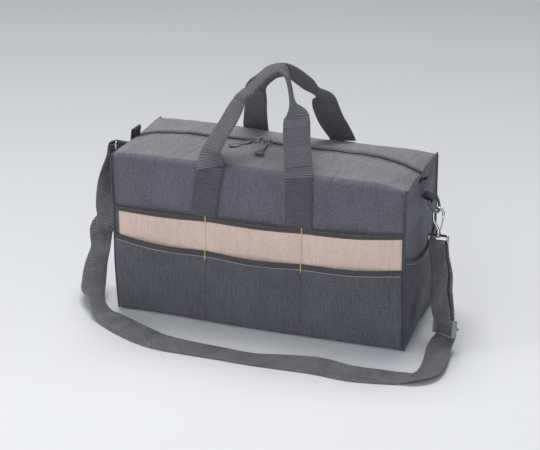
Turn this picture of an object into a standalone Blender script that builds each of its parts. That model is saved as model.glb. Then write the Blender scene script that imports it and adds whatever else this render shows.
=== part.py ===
"""Soft tool bag with a zipped top, two webbing carry handles and a shoulder strap on snap hooks.

Metres, +Z up. The origin is on the floor under the middle of the bag, +X runs along its length to the
right, and -Y faces the front.
"""

import math

import bmesh
import bpy
from mathutils import Matrix, Vector

MM = 0.001

# Bag body
LENGTH = 457 * MM
DEPTH = 188 * MM
HEIGHT = 248 * MM
CROWN = 12 * MM  # how far the zip line stands above the top edges
WALL = 2.5 * MM
GAP = 0.3 * MM  # between pieces that touch
PANEL_BULGE = 4 * MM
END_BULGE = 5 * MM
BOARD_THICKNESS = 3 * MM
BOARD_CLEARANCE = 5 * MM
EDGE_DROP = 0.6 * MM  # the wall panels end this far below the top edge
PIPING_RADIUS = 1.6 * MM

# Pockets
POCKET_CLOTH = 1.8 * MM
POCKET_MOUTH = 8 * MM  # how far a pocket stands open between its seams
POCKET_BASE = 4 * MM
POCKET_INSET = 1.5 * MM
POCKET_DIVISIONS = 3
INNER_DROP = 77 * MM  # from the bag's top edge to the middle of a taupe pocket's mouth
INNER_RISE = 8 * MM
OUTER_DROP = 56 * MM  # from a taupe pocket's mouth to an outer pocket's
OUTER_RISE = 10 * MM
BINDING_WIDTH = 9 * MM
BINDING_EXTRA = 1.0 * MM  # a binding is this much thicker than the pocket cloth
END_POCKET_TOP = 120 * MM
END_POCKET_RISE = 21 * MM
END_POCKET_MOUTH = 3 * MM
HEM_WIDTH = 7 * MM

# Top panels and zip
TOP_START = 2 * MM  # from the hinge line to the edge of a top panel
HINGE_OUT = 1.5 * MM  # the hinge lines lie this far outside the front and back
HINGE_RAISE = 1 * MM
COIL_RADIUS = 1.5 * MM
COIL_END_INSET = 12 * MM
TAPE_WIDTH = 9 * MM
TAPE_THICKNESS = 1 * MM
SLIDER_LENGTH = 11 * MM
SLIDER_WIDTH = 9 * MM
SLIDER_PLATE = 1.6 * MM
SLIDER_SPACING = 15 * MM
SLIDER_CENTRE = -20 * MM
BRIDGE_RADIUS = 0.8 * MM
BRIDGE_HEIGHT = 5 * MM
BRIDGE_LENGTH = 7 * MM
PULL_WIRE = 0.8 * MM
PULL_RING_LENGTH = 11 * MM
PULL_RING_WIDTH = 6 * MM
PULL_TAB_LENGTH = 24 * MM
PULL_TAB_WIDTH = 7 * MM
PULL_TAB_THICKNESS = 1.8 * MM
PULL_TURNS = (-50, 0)  # degrees from straight forward, for the left and right pull
ZIP_TAB_WIDTH = 25 * MM
ZIP_TAB_RISE = 22 * MM
ZIP_TAB_SEAT = 10 * MM
ZIP_TAB_CLOTH = 1.6 * MM
ZIP_TAB_LEANS = (8, 60)  # degrees outward from upright, left and right

# Carry handles
WEB_WIDTH = 42 * MM
WEB_THICKNESS = 2 * MM
GRIP_WIDTH = 23 * MM
GRIP_THICKNESS = 6.5 * MM
HANDLE_SPREAD = 70 * MM  # half the distance between a handle's legs
HANDLE_REACH = 158 * MM  # from the hinge line to the middle of the grip
HANDLE_LEAN = 58  # degrees above the bag's top
HANDLE_START = 2.6 * MM
ANCHOR_TOP_DROP = 6 * MM
ANCHOR_CLOTH = 1.8 * MM

# Shoulder strap and its metalwork
STRAP_WIDTH = 38 * MM
STRAP_THICKNESS = 1.8 * MM
LAYER_SPACING = 2.6 * MM  # between the middles of two strap layers
EYE_BAR_RADIUS = 1.9 * MM
LOOP_CLEARANCE = 0.5 * MM
EYE_SIDE_CLEARANCE = 1.5 * MM
EYE_TOP = 35.5 * MM  # along the hook, from the ring to the eye's boss
EYE_BAR = 46 * MM  # along the hook, from the ring to the eye's bar
BOSS_RADIUS = 5 * MM
BOSS_HEIGHT = 4 * MM
PIN_RADIUS = 2 * MM
PIN_CLEARANCE = 0.3 * MM
PIN_HEAD_RADIUS = 3.2 * MM
PIN_HEAD = 1.4 * MM
HOOK_WIRE = 2 * MM
RING_PLAY = 0.6 * MM  # between a hook's bow and its ring
BOW_RADIUS = 7.5 * MM
NOSE_END = 7 * MM
SHANK_END = 19 * MM
NECK_START = 27 * MM
NECK_RADIUS = 4 * MM
GATE_RADIUS = 1.2 * MM
GATE_CLEARANCE = 0.5 * MM
GATE_OFFSET = 3.6 * MM  # from the hook's axis to the gate's hinge
GATE_SEAT = 0.4 * MM
RING_WIRE = 1.9 * MM
RING_DEPTH = 22 * MM
RING_HALF = 19 * MM
RING_BAR_OUT = 14.5 * MM  # from the end of the bag to the ring's bar
RING_DROP = 42 * MM  # from the bag's top edge to a ring's bar
RING_LEAN = 27  # degrees that a hanging ring leans outward
SWING_DROP = 5 * MM  # from a ring's bar down to the line that the strap swings about
RING_TAB_WIDTH = 32 * MM
RING_TAB_CLOTH = 1.6 * MM
RING_TAB_LENGTH = 13 * MM
ADJUSTER_BAR = 3.2 * MM
ADJUSTER_LENGTH = 26 * MM
ADJUSTER_SLOT = 2.7 * MM  # from the strap's face to an adjuster bar
ADJUSTER_SIDE = 1.8 * MM

HALF_LENGTH = LENGTH / 2
HALF_DEPTH = DEPTH / 2
INNER_TOP = HEIGHT - INNER_DROP
OUTER_TOP = INNER_TOP - OUTER_DROP
RING_BAR_HEIGHT = HEIGHT - RING_DROP
HINGE_Y = HALF_DEPTH + HINGE_OUT
HINGE_Z = HEIGHT + HINGE_RAISE

# The handles' middle lines in their own sloping planes: across as shares of the spread, up as shares of
# the reach, then whether the webbing is folded into the grip (1) or flat (0).
FRONT_HANDLE_SHARES = [
    (-1.02, 0.00, 0), (-1.02, 0.05, 0), (-0.95, 0.20, 0), (-0.82, 0.42, 0), (-0.69, 0.64, 0),
    (-0.53, 0.76, 1), (-0.36, 0.87, 1), (-0.16, 0.96, 1), (0.04, 1.00, 1), (0.22, 0.97, 1), (0.35, 0.88, 1),
    (0.45, 0.76, 1), (0.62, 0.60, 0), (0.76, 0.42, 0), (0.88, 0.21, 0), (0.95, 0.05, 0), (0.95, 0.00, 0),
]
BACK_HANDLE_SHARES = [
    (-1.00, 0.00, 0), (-1.00, 0.05, 0), (-0.92, 0.22, 0), (-0.82, 0.44, 0), (-0.69, 0.66, 0),
    (-0.52, 0.78, 1), (-0.33, 0.89, 1), (-0.12, 0.97, 1), (0.10, 1.00, 1), (0.29, 0.96, 1), (0.45, 0.87, 1),
    (0.57, 0.75, 1), (0.72, 0.58, 0), (0.80, 0.40, 0), (0.92, 0.20, 0), (1.03, 0.05, 0),
    (1.03, 0.00, 0),
]
# The strap's middle line. On each drop a place is given from its eye's bar, outward, back and down, as
# shares of the strap's width, the half depth and the bar's height. On the floor a place is shares of the
# half length and half depth. Each has the direction across the webbing towards its outer edge.
LEFT_DROP_SHARES = [
    ((0.340, 0.004, 0.015), (-0.09, -0.92, 0.37)), ((0.400, -0.056, 0.097), (-0.1, -0.92, 0.35)),
    ((0.418, -0.131, 0.197), (-0.5, -0.8, 0.2)), ((0.436, -0.186, 0.295), (-0.85, -0.5, 0.0)),
    ((0.544, -0.231, 0.429), (-1.0, -0.1, 0.0)), ((0.677, -0.301, 0.603), (-1.0, 0.0, 0.0)),
    ((0.701, -0.386, 0.728), (-1.0, 0.0, 0.0)), ((0.701, -0.536, 0.826), (-1.0, 0.0, 0.0)),
    ((0.544, -0.761, 0.907), (-1.0, -0.4, 0.0)), ((0.214, -1.036, 0.948), (-0.8, -0.7, -0.1)),
]
FLOOR_SHARES = [
    ((-1.095, -1.150), (-0.4, -0.9, -0.25)), ((-0.985, -1.440), (-0.1, -0.9, -0.35)),
    ((-0.815, -1.740), (0.05, -0.84, -0.5)), ((-0.640, -1.975), (0.08, -0.82, -0.55)),
    ((-0.480, -2.080), (0.2, -0.93, -0.3)), ((-0.293, -2.100), (0.2, -0.97, -0.12)),
    ((-0.079, -2.128), (0.2, -0.98, -0.05)), ((0.149, -2.180), (0.2, -0.98, -0.04)),
    ((0.372, -2.165), (0.2, -0.98, -0.03)), ((0.586, -2.150), (0.2, -0.98, -0.03)),
    ((0.800, -2.110), (0.2, -0.98, 0.0)), ((0.967, -2.030), (0.35, -0.93, -0.02)),
    ((1.094, -1.900), (0.6, -0.8, -0.08)), ((1.200, -1.650), (0.85, -0.5, -0.1)),
    ((1.245, -1.330), (0.95, -0.3, 0.0)),
]
RIGHT_RISE_SHARES = [
    ((0.798, -0.927, 0.962), (0.92, -0.38, 0.06)), ((0.850, -0.663, 0.915), (0.8, -0.6, 0.0)),
]
RIGHT_TOP_SHARES = [  # the adjuster sits on the first of these
    ((0.762, -0.547, 0.778), (0.8, -0.6, 0.0)), ((0.673, -0.431, 0.642), (0.8, -0.6, 0.0)),
    ((0.449, -0.307, 0.476), (0.8, -0.6, 0.15)), ((0.299, -0.177, 0.324), (0.8, -0.57, 0.2)),
    ((0.184, -0.057, 0.171), (0.8, -0.56, 0.22)),
]
HOOK_DIRECTIONS = {-1: (-0.21, 0.38, 0.90), 1: (0.09, -0.25, -0.96)}
EYE_ACROSS = {-1: (0.0, -1.0, 0.0), 1: (0.82, -0.57, 0.2)}
STRAP_LEAVES = {-1: (-0.93, 0.0, -0.36), 1: (0.35, -0.10, -0.93)}
INNER_LAYER_POINTS = {-1: 6, 1: 7}


def clear_scene():
    for existing in list(bpy.data.objects):
        bpy.data.objects.remove(existing, do_unlink=True)


def collection_named(name, hidden=False):
    found = bpy.data.collections.new(name)
    bpy.context.scene.collection.children.link(found)
    found.hide_render = hidden
    return found


def material(name, colour, roughness, metallic=0.0):
    made = bpy.data.materials.new(name)
    made.use_nodes = True
    shader = made.node_tree.nodes["Principled BSDF"]
    shader.inputs["Base Color"].default_value = (*colour, 1.0)
    shader.inputs["Roughness"].default_value = roughness
    shader.inputs["Metallic"].default_value = metallic
    return made


clear_scene()
BAG = collection_named("tool_bag")
CUTTERS = collection_named("cutters", hidden=True)
FINISHES = {  # colour, roughness and, for metal, how metallic
    "shell": ((0.085, 0.085, 0.105), 0.85),
    "pocket": ((0.055, 0.055, 0.065), 0.85),
    "taupe": ((0.50, 0.35, 0.30), 0.85),
    "binding": ((0.035, 0.032, 0.030), 0.80),
    "webbing": ((0.045, 0.045, 0.047), 0.75),
    "strap": ((0.075, 0.075, 0.078), 0.75),
    "zip": ((0.02, 0.02, 0.022), 0.60),
    "metal": ((0.62, 0.62, 0.64), 0.22, 1.0),
    "board": ((0.06, 0.06, 0.06), 0.70),
}


def mesh_object(name, bm, finish, collection=None, smooth=True):
    mesh = bpy.data.meshes.new(name)
    bm.to_mesh(mesh)
    bm.free()
    made = bpy.data.objects.new(name, mesh)
    (collection or BAG).objects.link(made)
    made.data.materials.append(material(name, *FINISHES[finish]))
    if smooth:
        mesh.shade_smooth()
        mesh.set_sharp_from_angle(angle=math.radians(35))
    return made


def sheet(name, place, columns, rows, thickness, outward, finish, offset=-1.0):
    """A cloth panel: place(u, v) gives its face, and the cloth's thickness goes to the side of offset."""
    bm = bmesh.new()
    bmesh.ops.create_grid(bm, x_segments=columns, y_segments=rows, size=0.5)
    for vertex in bm.verts:
        vertex.co = Vector(place(vertex.co.x + 0.5, vertex.co.y + 0.5))
    bm.normal_update()
    facing = sum((face.normal * face.calc_area() for face in bm.faces), Vector())
    if facing.dot(Vector(outward)) < 0:
        bmesh.ops.reverse_faces(bm, faces=bm.faces)
    made = mesh_object(name, bm, finish)
    solid = made.modifiers.new("cloth", "SOLIDIFY")
    solid.thickness = thickness
    solid.offset = offset
    return made


def box(name, low, high, finish, collection=None):
    bm = bmesh.new()
    bmesh.ops.create_cube(bm, size=1.0)
    for vertex in bm.verts:
        for axis in range(3):
            middle = (low[axis] + high[axis]) / 2
            vertex.co[axis] = middle + vertex.co[axis] * (high[axis] - low[axis])
    return mesh_object(name, bm, finish, collection, smooth=False)


def cylinder(name, start, end, radius, finish, segments):
    start, end = Vector(start), Vector(end)
    axis = end - start
    bm = bmesh.new()
    turn = Vector((0, 0, 1)).rotation_difference(axis).to_matrix().to_4x4()
    bmesh.ops.create_cone(
        bm,
        cap_ends=True,
        segments=segments,
        radius1=radius,
        radius2=radius,
        depth=axis.length,
        matrix=Matrix.Translation((start + end) / 2) @ turn,
    )
    return mesh_object(name, bm, finish)


def tube(name, points, radius, finish, closed=False, resolution=2):
    """A wire along points, with filled caps where it is open."""
    curve = bpy.data.curves.new(name, "CURVE")
    curve.dimensions = "3D"
    curve.bevel_depth = radius
    curve.bevel_resolution = resolution
    curve.use_fill_caps = True
    spline = curve.splines.new("POLY")
    spline.points.add(len(points) - 1)
    for target, point in zip(spline.points, points):
        target.co = (*point, 1.0)
    spline.use_cyclic_u = closed
    spline.use_smooth = True
    made = bpy.data.objects.new(name, curve)
    BAG.objects.link(made)
    made.data.materials.append(material(name, *FINISHES[finish]))
    return made


def as_mesh(made):
    """The same piece as a mesh with its caps welded, so that it can be joined or cut."""
    graph = bpy.context.evaluated_depsgraph_get()
    mesh = bpy.data.meshes.new_from_object(made.evaluated_get(graph))
    bm = bmesh.new()
    bm.from_mesh(mesh)
    bmesh.ops.remove_doubles(bm, verts=bm.verts, dist=GAP / 10)
    bm.to_mesh(mesh)
    bm.free()
    name = made.name
    place = made.matrix_world.copy()
    bpy.data.objects.remove(made, do_unlink=True)
    again = bpy.data.objects.new(name, mesh)
    again.matrix_world = place
    BAG.objects.link(again)
    return again


def combine(made, others, operation="UNION"):
    for other in others:
        step = made.modifiers.new(operation.lower(), "BOOLEAN")
        step.operation = operation
        step.object = other
        CUTTERS.objects.link(other)
        BAG.objects.unlink(other)
        other.hide_render = True
        other.display_type = "WIRE"
    return made


def loft(name, sections, finish):
    """Joins closed sections of equal counts into one body with flat ends."""
    bm = bmesh.new()
    rings = [[bm.verts.new(point) for point in section] for section in sections]
    for before, after in zip(rings, rings[1:]):
        for i, vertex in enumerate(before):
            j = (i + 1) % len(before)
            bm.faces.new((vertex, before[j], after[j], after[i]))
    bm.faces.new(list(reversed(rings[0])))
    bm.faces.new(rings[-1])
    bmesh.ops.recalc_face_normals(bm, faces=bm.faces)
    return mesh_object(name, bm, finish)


def turned(name, start, axis, profile, finish, segments=16):
    """A round body: profile lists the distance along the axis and the radius there."""
    side = axis.orthogonal().normalized()
    other = axis.cross(side)
    circle = [2 * math.pi * (k + 0.5) / segments for k in range(segments)]
    spokes = [side * math.cos(turn) + other * math.sin(turn) for turn in circle]
    sections = [[start + axis * along + spoke * radius for spoke in spokes] for along, radius in profile]
    return loft(name, sections, finish)


def smooth_through(points, steps):
    """Points of a smooth curve through the given ones, steps to a span."""
    out = []
    for i in range(len(points) - 1):
        before = points[max(i - 1, 0)]
        start = points[i]
        end = points[i + 1]
        after = points[min(i + 2, len(points) - 1)]
        for k in range(steps):
            t = k / steps
            pull = (end - before) * (t - 2 * t * t + t**3) / 2
            push = (after - start) * (t**3 - t * t) / 2
            blend = t * t * (3 - 2 * t)
            out.append(start * (1 - blend) + end * blend + pull + push)
    return [*out, points[-1]]


def frames(points, across):
    """The unit tangent, across and normal directions at each point of a ribbon."""
    out = []
    for i, point in enumerate(points):
        tangent = (points[min(i + 1, len(points) - 1)] - points[max(i - 1, 0)]).normalized()
        side = (across[i] - tangent * across[i].dot(tangent)).normalized()
        out.append((tangent, side, tangent.cross(side)))
    return out


def ribbon(name, points, across, widths, thicknesses, finish, chamfer_share=0.0):
    """Webbing along points: a flat section, or one with its corners taken off by chamfer_share."""
    sections = []
    for point, (_, side, up), width, thick in zip(points, frames(points, across), widths, thicknesses):
        w, t = width / 2, thick / 2
        cut = thick * chamfer_share
        if cut:
            corners = [(w - cut, t), (w, t - cut), (w, cut - t), (w - cut, -t)]
            corners += [(-a, -b) for a, b in corners]
        else:
            corners = [(w, t), (w, -t), (-w, -t), (-w, t)]
        sections.append([point + side * a + up * b for a, b in corners])
    return loft(name, sections, finish)


def bell(share):
    return math.sin(math.pi * min(max(share, 0.0), 1.0))


def face_bulge(x, z):
    return PANEL_BULGE * bell(x / LENGTH + 0.5) * bell(z / HEIGHT)


def end_bulge(y, z):
    return END_BULGE * bell(y / DEPTH + 0.5) * bell(z / HEIGHT)


def crown(y):
    return CROWN * math.cos(math.pi / 2 * min(abs(y) / HALF_DEPTH, 1.0))


def make_shell():
    box("bottom_panel", (-HALF_LENGTH, -HALF_DEPTH, 0), (HALF_LENGTH, HALF_DEPTH, WALL), "shell")
    board = [HALF_LENGTH - WALL - BOARD_CLEARANCE, HALF_DEPTH - WALL - BOARD_CLEARANCE]
    floor = WALL + GAP
    box("bottom_board", (-board[0], -board[1], floor), (*board, floor + BOARD_THICKNESS), "board")
    top = HEIGHT - EDGE_DROP
    for name, facing in (("front_panel", -1), ("back_panel", 1)):
        def wall(u, v, facing=facing):
            x = -HALF_LENGTH + LENGTH * u
            z = floor + (top - floor) * v
            return x, facing * (HALF_DEPTH + face_bulge(x, z)), z
        sheet(name, wall, 14, 8, WALL, (0, facing, 0), "shell")
    reach = HALF_DEPTH - WALL - GAP
    for name, facing in (("left_end_panel", -1), ("right_end_panel", 1)):
        def end(u, v, facing=facing):
            y = -reach + 2 * reach * u
            z = floor + (top + crown(y) - floor) * v
            return facing * (HALF_LENGTH + end_bulge(y, z)), y, z
        sheet(name, end, 8, 8, WALL, (facing, 0, 0), "shell")
    corner = PIPING_RADIUS * 0.95
    for side_name, side in (("left", -1), ("right", 1)):
        for face_name, face in (("front", -1), ("back", 1)):
            x = side * (HALF_LENGTH + corner)
            y = face * (HALF_DEPTH + corner)
            ends = [(x, y, GAP), (x, y, HEIGHT - EDGE_DROP)]
            tube(f"{face_name}_{side_name}_piping", ends, PIPING_RADIUS, "binding")


def mouth(x, z, top):
    """How far a front or back pocket stands off what is behind it."""
    swell = bell(POCKET_DIVISIONS * (x / LENGTH + 0.5) % 1.0) ** 0.8
    rise = min(max((z - POCKET_BASE) / (top - POCKET_BASE), 0.0), 1.0)
    return GAP + POCKET_MOUTH * swell * rise


def inner_top(x):
    return INNER_TOP + INNER_RISE * (x / HALF_LENGTH) ** 4


def outer_top(x):
    return OUTER_TOP + OUTER_RISE * (x / HALF_LENGTH) ** 2


def inner_face(x, z):
    return face_bulge(x, z) + mouth(x, z, INNER_TOP)


def outer_face(x, z):
    return inner_face(x, z) + POCKET_CLOTH + mouth(x, z, OUTER_TOP)


def make_pocket(name, facing, face, top, finish):
    """One full-width pocket and the binding along its mouth."""
    half = HALF_LENGTH - POCKET_INSET

    def place(u, low, high):
        x = -half + 2 * half * u
        z = low(x) + (high(x) - low(x))
        return x, facing * (HALF_DEPTH + face(x, z)), z

    def cloth(u, v):
        x = -half + 2 * half * u
        high = top(x) - BINDING_WIDTH - GAP
        z = POCKET_BASE + (high - POCKET_BASE) * v
        return x, facing * (HALF_DEPTH + face(x, z)), z

    def binding(u, v):
        x = -half + 2 * half * u
        z = top(x) - BINDING_WIDTH * (1 - v)
        return x, facing * (HALF_DEPTH + face(x, z)), z

    columns = 8 * POCKET_DIVISIONS
    sheet(name, cloth, columns, 4, POCKET_CLOTH, (0, facing, 0), finish, offset=1.0)
    thick = POCKET_CLOTH + BINDING_EXTRA
    sheet(f"{name}_binding", binding, columns, 1, thick, (0, facing, 0), "binding", offset=1.0)


def end_top(y):
    return END_POCKET_TOP + END_POCKET_RISE * (y / HALF_DEPTH) ** 2


def make_end_pocket(name, facing):
    half = HALF_DEPTH - POCKET_INSET

    def face(y, z):
        rise = (z - POCKET_BASE) / (END_POCKET_TOP - POCKET_BASE)
        return end_bulge(y, z) + GAP + END_POCKET_MOUTH * bell(y / DEPTH + 0.5) * min(max(rise, 0.0), 1.0)

    def cloth(u, v):
        y = -half + 2 * half * u
        z = POCKET_BASE + (end_top(y) - HEM_WIDTH - GAP - POCKET_BASE) * v
        return facing * (HALF_LENGTH + face(y, z)), y, z

    def hem(u, v):
        y = -half + 2 * half * u
        z = end_top(y) - HEM_WIDTH * (1 - v)
        return facing * (HALF_LENGTH + face(y, z)), y, z

    sheet(name, cloth, 8, 4, POCKET_CLOTH, (facing, 0, 0), "pocket", offset=1.0)
    sheet(f"{name}_hem", hem, 8, 1, POCKET_CLOTH + BINDING_EXTRA / 2, (facing, 0, 0), "pocket", offset=1.0)


def make_pockets():
    for name, facing in (("front", -1), ("back", 1)):
        make_pocket(f"{name}_inner_pocket", facing, inner_face, inner_top, "taupe")
        make_pocket(f"{name}_outer_pocket", facing, outer_face, outer_top, "pocket")
    make_end_pocket("left_end_pocket", -1)
    make_end_pocket("right_end_pocket", 1)


def make_top():
    """The two top panels with their zip tapes and coils. They part along the zip line."""
    coil_y = COIL_RADIUS + GAP
    tape_end = coil_y + COIL_RADIUS + GAP
    cloth_end = tape_end + TAPE_WIDTH
    half_coil = HALF_LENGTH - COIL_END_INSET
    for name, facing in (("front", -1), ("back", 1)):
        def panel(u, v, facing=facing):
            y = HINGE_Y - TOP_START - (HINGE_Y - TOP_START - cloth_end - GAP) * v
            return -HALF_LENGTH + LENGTH * u, facing * y, HINGE_Z + crown(y)

        def tape(u, v, facing=facing):
            y = cloth_end - (cloth_end - tape_end) * v
            return -HALF_LENGTH + LENGTH * u, facing * y, HINGE_Z + crown(y)

        sheet(f"{name}_top_panel", panel, 12, 7, WALL, (0, 0, 1), "shell", offset=0.0)
        sheet(f"{name}_zip_tape", tape, 12, 2, TAPE_THICKNESS, (0, 0, 1), "zip", offset=0.0)
        ends = [(x, facing * coil_y, HINGE_Z + CROWN) for x in (-half_coil, half_coil)]
        tube(f"{name}_zip_coil", ends, COIL_RADIUS, "zip")


def slider_top():
    return HINGE_Z + CROWN + COIL_RADIUS + GAP + SLIDER_PLATE


def slider_x(side):
    return SLIDER_CENTRE + side * SLIDER_SPACING / 2


def pull_frame(side):
    """Where a pull hangs on its slider, the way it lies, and its hinge axis."""
    turn = math.radians(PULL_TURNS[0 if side < 0 else 1])
    along = Vector((math.sin(turn), -math.cos(turn), 0))
    raised = slider_top() + BRIDGE_HEIGHT - BRIDGE_RADIUS * 2 - PULL_WIRE - GAP
    return Vector((slider_x(side), 0, raised)), along, along.cross(Vector((0, 0, 1)))


def make_slider(name, side):
    x = slider_x(side)
    base = slider_top() - SLIDER_PLATE
    plate = box(
        f"{name}_zip_slider",
        (x - SLIDER_LENGTH / 2, -SLIDER_WIDTH / 2, base),
        (x + SLIDER_LENGTH / 2, SLIDER_WIDTH / 2, slider_top()),
        "metal",
    )
    place, along, axis = pull_frame(side)
    high = slider_top() + BRIDGE_HEIGHT - BRIDGE_RADIUS
    low = slider_top() - SLIDER_PLATE / 2
    foot = along * BRIDGE_LENGTH / 2
    level = Vector((x, 0, 0))
    arch = [level - foot + Vector((0, 0, low)), level - foot + Vector((0, 0, high))]
    arch += [level + foot + Vector((0, 0, high)), level + foot + Vector((0, 0, low))]
    combine(plate, [as_mesh(tube(f"{name}_bridge", arch, BRIDGE_RADIUS, "metal"))])
    half = PULL_RING_WIDTH / 2
    far = place + along * PULL_RING_LENGTH
    ring = [place - axis * half, place + axis * half, far + axis * half, far - axis * half]
    tube(f"{name}_pull_ring", ring, PULL_WIRE, "metal", closed=True, resolution=1)
    tab_start = far + along * (PULL_WIRE + GAP)
    tab_end = tab_start + along * PULL_TAB_LENGTH
    middle = tab_start + along * PULL_TAB_LENGTH / 2
    widths = [PULL_TAB_WIDTH * 0.7, PULL_TAB_WIDTH * 0.8, PULL_TAB_WIDTH]
    ribbon(
        f"{name}_pull_tab",
        [tab_start, middle, tab_end],
        [axis] * 3,
        widths,
        [PULL_TAB_THICKNESS] * 3,
        "zip",
        chamfer_share=0.3,
    )


def make_zip_tab(name, side):
    """A folded cloth tab past the end of the zip, sewn to the end panel."""
    lean = math.radians(ZIP_TAB_LEANS[0 if side < 0 else 1])
    out = side * (HALF_LENGTH + end_bulge(0, HEIGHT - ZIP_TAB_SEAT) + GAP + ZIP_TAB_CLOTH / 2)
    seat = Vector((out, 0, HEIGHT - ZIP_TAB_SEAT))
    edge = Vector((out + side * GAP, 0, HEIGHT + CROWN / 2))
    rise = Vector((side * math.sin(lean), 0, math.cos(lean)))
    away = Vector((side * math.cos(lean), 0, -math.sin(lean)))
    fold = ZIP_TAB_CLOTH + GAP
    top = edge + rise * ZIP_TAB_RISE
    path = [seat, edge, edge + rise * ZIP_TAB_RISE * 0.6, top + away * fold * 0.4]
    path += [top + away * fold * 1.6, edge + rise * ZIP_TAB_RISE * 0.6 + away * fold * 2]
    path += [edge + away * fold * 1.5 + Vector((side * fold * 0.6, 0, 0))]
    across = [Vector((0, 1, 0))] * len(path)
    widths = [ZIP_TAB_WIDTH] * len(path)
    ribbon(f"{name}_zip_tab", path, across, widths, [ZIP_TAB_CLOTH] * len(path), "webbing")


def handle_point(x, up, facing):
    lean = math.radians(HANDLE_LEAN)
    return Vector((x, facing * (HINGE_Y - up * math.cos(lean)), HINGE_Z + up * math.sin(lean)))


def make_handle(name, facing, shares):
    lean = math.radians(HANDLE_LEAN)
    route = [Vector((x * HANDLE_SPREAD, HANDLE_START + up * (HANDLE_REACH - HANDLE_START), grip))
             for x, up, grip in shares]
    route = smooth_through(route, 2)
    route[1].x, route[-2].x = route[0].x, route[-1].x  # so that the ends are cut level
    points = [handle_point(place.x, place.y, facing) for place in route]
    plane = Vector((0, facing * math.sin(lean), math.cos(lean)))
    along = frames(points, [plane] * len(points))
    across = [direction[2] for direction in along]
    folded = [min(max(place.z, 0.0), 1.0) for place in route]
    widths = [WEB_WIDTH + (GRIP_WIDTH - WEB_WIDTH) * share for share in folded]
    thick = [WEB_THICKNESS + (GRIP_THICKNESS - WEB_THICKNESS) * share for share in folded]
    ribbon(f"{name}_handle", points, across, widths, thick, "webbing", chamfer_share=0.3)
    for side_name, x_share in (("left", shares[0][0]), ("right", shares[-1][0])):
        middle = x_share * HANDLE_SPREAD
        low = inner_top(middle) + GAP
        high = HEIGHT - ANCHOR_TOP_DROP

        def anchor(u, v, middle=middle, low=low, high=high):
            x = middle - WEB_WIDTH / 2 + WEB_WIDTH * u
            z = low + (high - low) * v
            return x, facing * (HALF_DEPTH + face_bulge(x, z) + GAP), z

        anchor_name = f"{name}_{side_name}_handle_anchor"
        sheet(anchor_name, anchor, 3, 4, ANCHOR_CLOTH, (0, facing, 0), "webbing", offset=1.0)


def ring_bar(side):
    return Vector((side * (HALF_LENGTH + RING_BAR_OUT), 0, RING_BAR_HEIGHT))


def ring_hang(side):
    lean = math.radians(RING_LEAN)
    return Vector((side * math.sin(lean), 0, -math.cos(lean)))


def ring_foot(side):
    """The lowest point of a hanging D-ring, where its hook holds it."""
    return ring_bar(side) + ring_hang(side) * RING_DEPTH


def make_ring(name, side):
    bar = ring_bar(side)
    hang = ring_hang(side)
    across = Vector((0, 1, 0))
    points = []
    for k in range(15):
        turn = math.pi * k / 14
        points.append(bar + across * RING_HALF * math.cos(turn) + hang * RING_DEPTH * math.sin(turn))
    tube(f"{name}_d_ring", points, RING_WIRE, "metal", closed=True)
    wrap = RING_WIRE + LOOP_CLEARANCE + RING_TAB_CLOTH / 2
    back = HALF_LENGTH + end_bulge(0, RING_BAR_HEIGHT) + GAP + RING_TAB_CLOTH / 2
    layer = RING_TAB_CLOTH + GAP
    top = RING_BAR_HEIGHT + RING_TAB_LENGTH
    flat = HALF_LENGTH + end_bulge(0, top) + GAP + RING_TAB_CLOTH / 2
    path = [Vector((side * flat, 0, top)), Vector((side * back, 0, RING_BAR_HEIGHT + wrap))]
    for k in range(7):
        turn = math.radians(200 + 240 * k / 6)
        path.append(bar + Vector((side * math.cos(turn), 0, math.sin(turn))) * wrap)
    path.append(Vector((side * (back + layer * 1.5), 0, RING_BAR_HEIGHT + wrap * 2.6)))
    path.append(Vector((side * (flat + layer), 0, top)))
    count = len(path)
    across = [Vector((0, 1, 0))] * count
    ribbon(f"{name}_ring_tab", path, across, [RING_TAB_WIDTH] * count, [RING_TAB_CLOTH] * count, "webbing")


def hook_frame(side):
    """The hook's contact with its ring, its long axis towards the eye, and its outward side."""
    along = Vector(HOOK_DIRECTIONS[side]).normalized()
    out = Vector((side, 0, 0))
    out = (out - along * out.dot(along)).normalized()
    return ring_foot(side), along, out


def make_hook(name, side):
    foot, along, out = hook_frame(side)
    bow = RING_WIRE + HOOK_WIRE + RING_PLAY
    centre = foot + along * (BOW_RADIUS - bow)
    path = [foot + along * (NECK_START + NECK_RADIUS)]
    path += [centre - out * BOW_RADIUS + along * (SHANK_END - BOW_RADIUS)]
    for k in range(9):
        turn = math.pi * k / 8
        path.append(centre - out * BOW_RADIUS * math.cos(turn) - along * BOW_RADIUS * math.sin(turn))
    path.append(foot + out * BOW_RADIUS + along * NOSE_END)
    hook = as_mesh(tube(f"{name}_snap_hook", path, HOOK_WIRE, "metal"))
    boss = EYE_TOP - BOSS_HEIGHT / 2 - GAP
    head = EYE_TOP + BOSS_HEIGHT / 2 + GAP
    profile = [(NECK_START, NECK_RADIUS * 0.8), (boss, NECK_RADIUS), (boss, PIN_RADIUS), (head, PIN_RADIUS)]
    profile += [(head, PIN_HEAD_RADIUS), (head + PIN_HEAD, PIN_HEAD_RADIUS)]
    combine(hook, [turned(f"{name}_neck", foot, along, profile, "metal")])
    pivot = gate_pivot(side)
    tip = foot + out * BOW_RADIUS + along * (NOSE_END + HOOK_WIRE / 2 + GATE_CLEARANCE)
    tube(f"{name}_hook_gate", [pivot, tip], GATE_RADIUS, "metal")


def gate_pivot(side):
    foot, along, out = hook_frame(side)
    return foot + out * GATE_OFFSET + along * (NECK_START - GATE_SEAT)


def eye_frame(side):
    """The middle of a swivel eye's bar and the bar's direction."""
    foot, along, _ = hook_frame(side)
    across = Vector(EYE_ACROSS[side])
    across = (across - along * across.dot(along)).normalized()
    return foot + along * EYE_BAR, across


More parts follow.
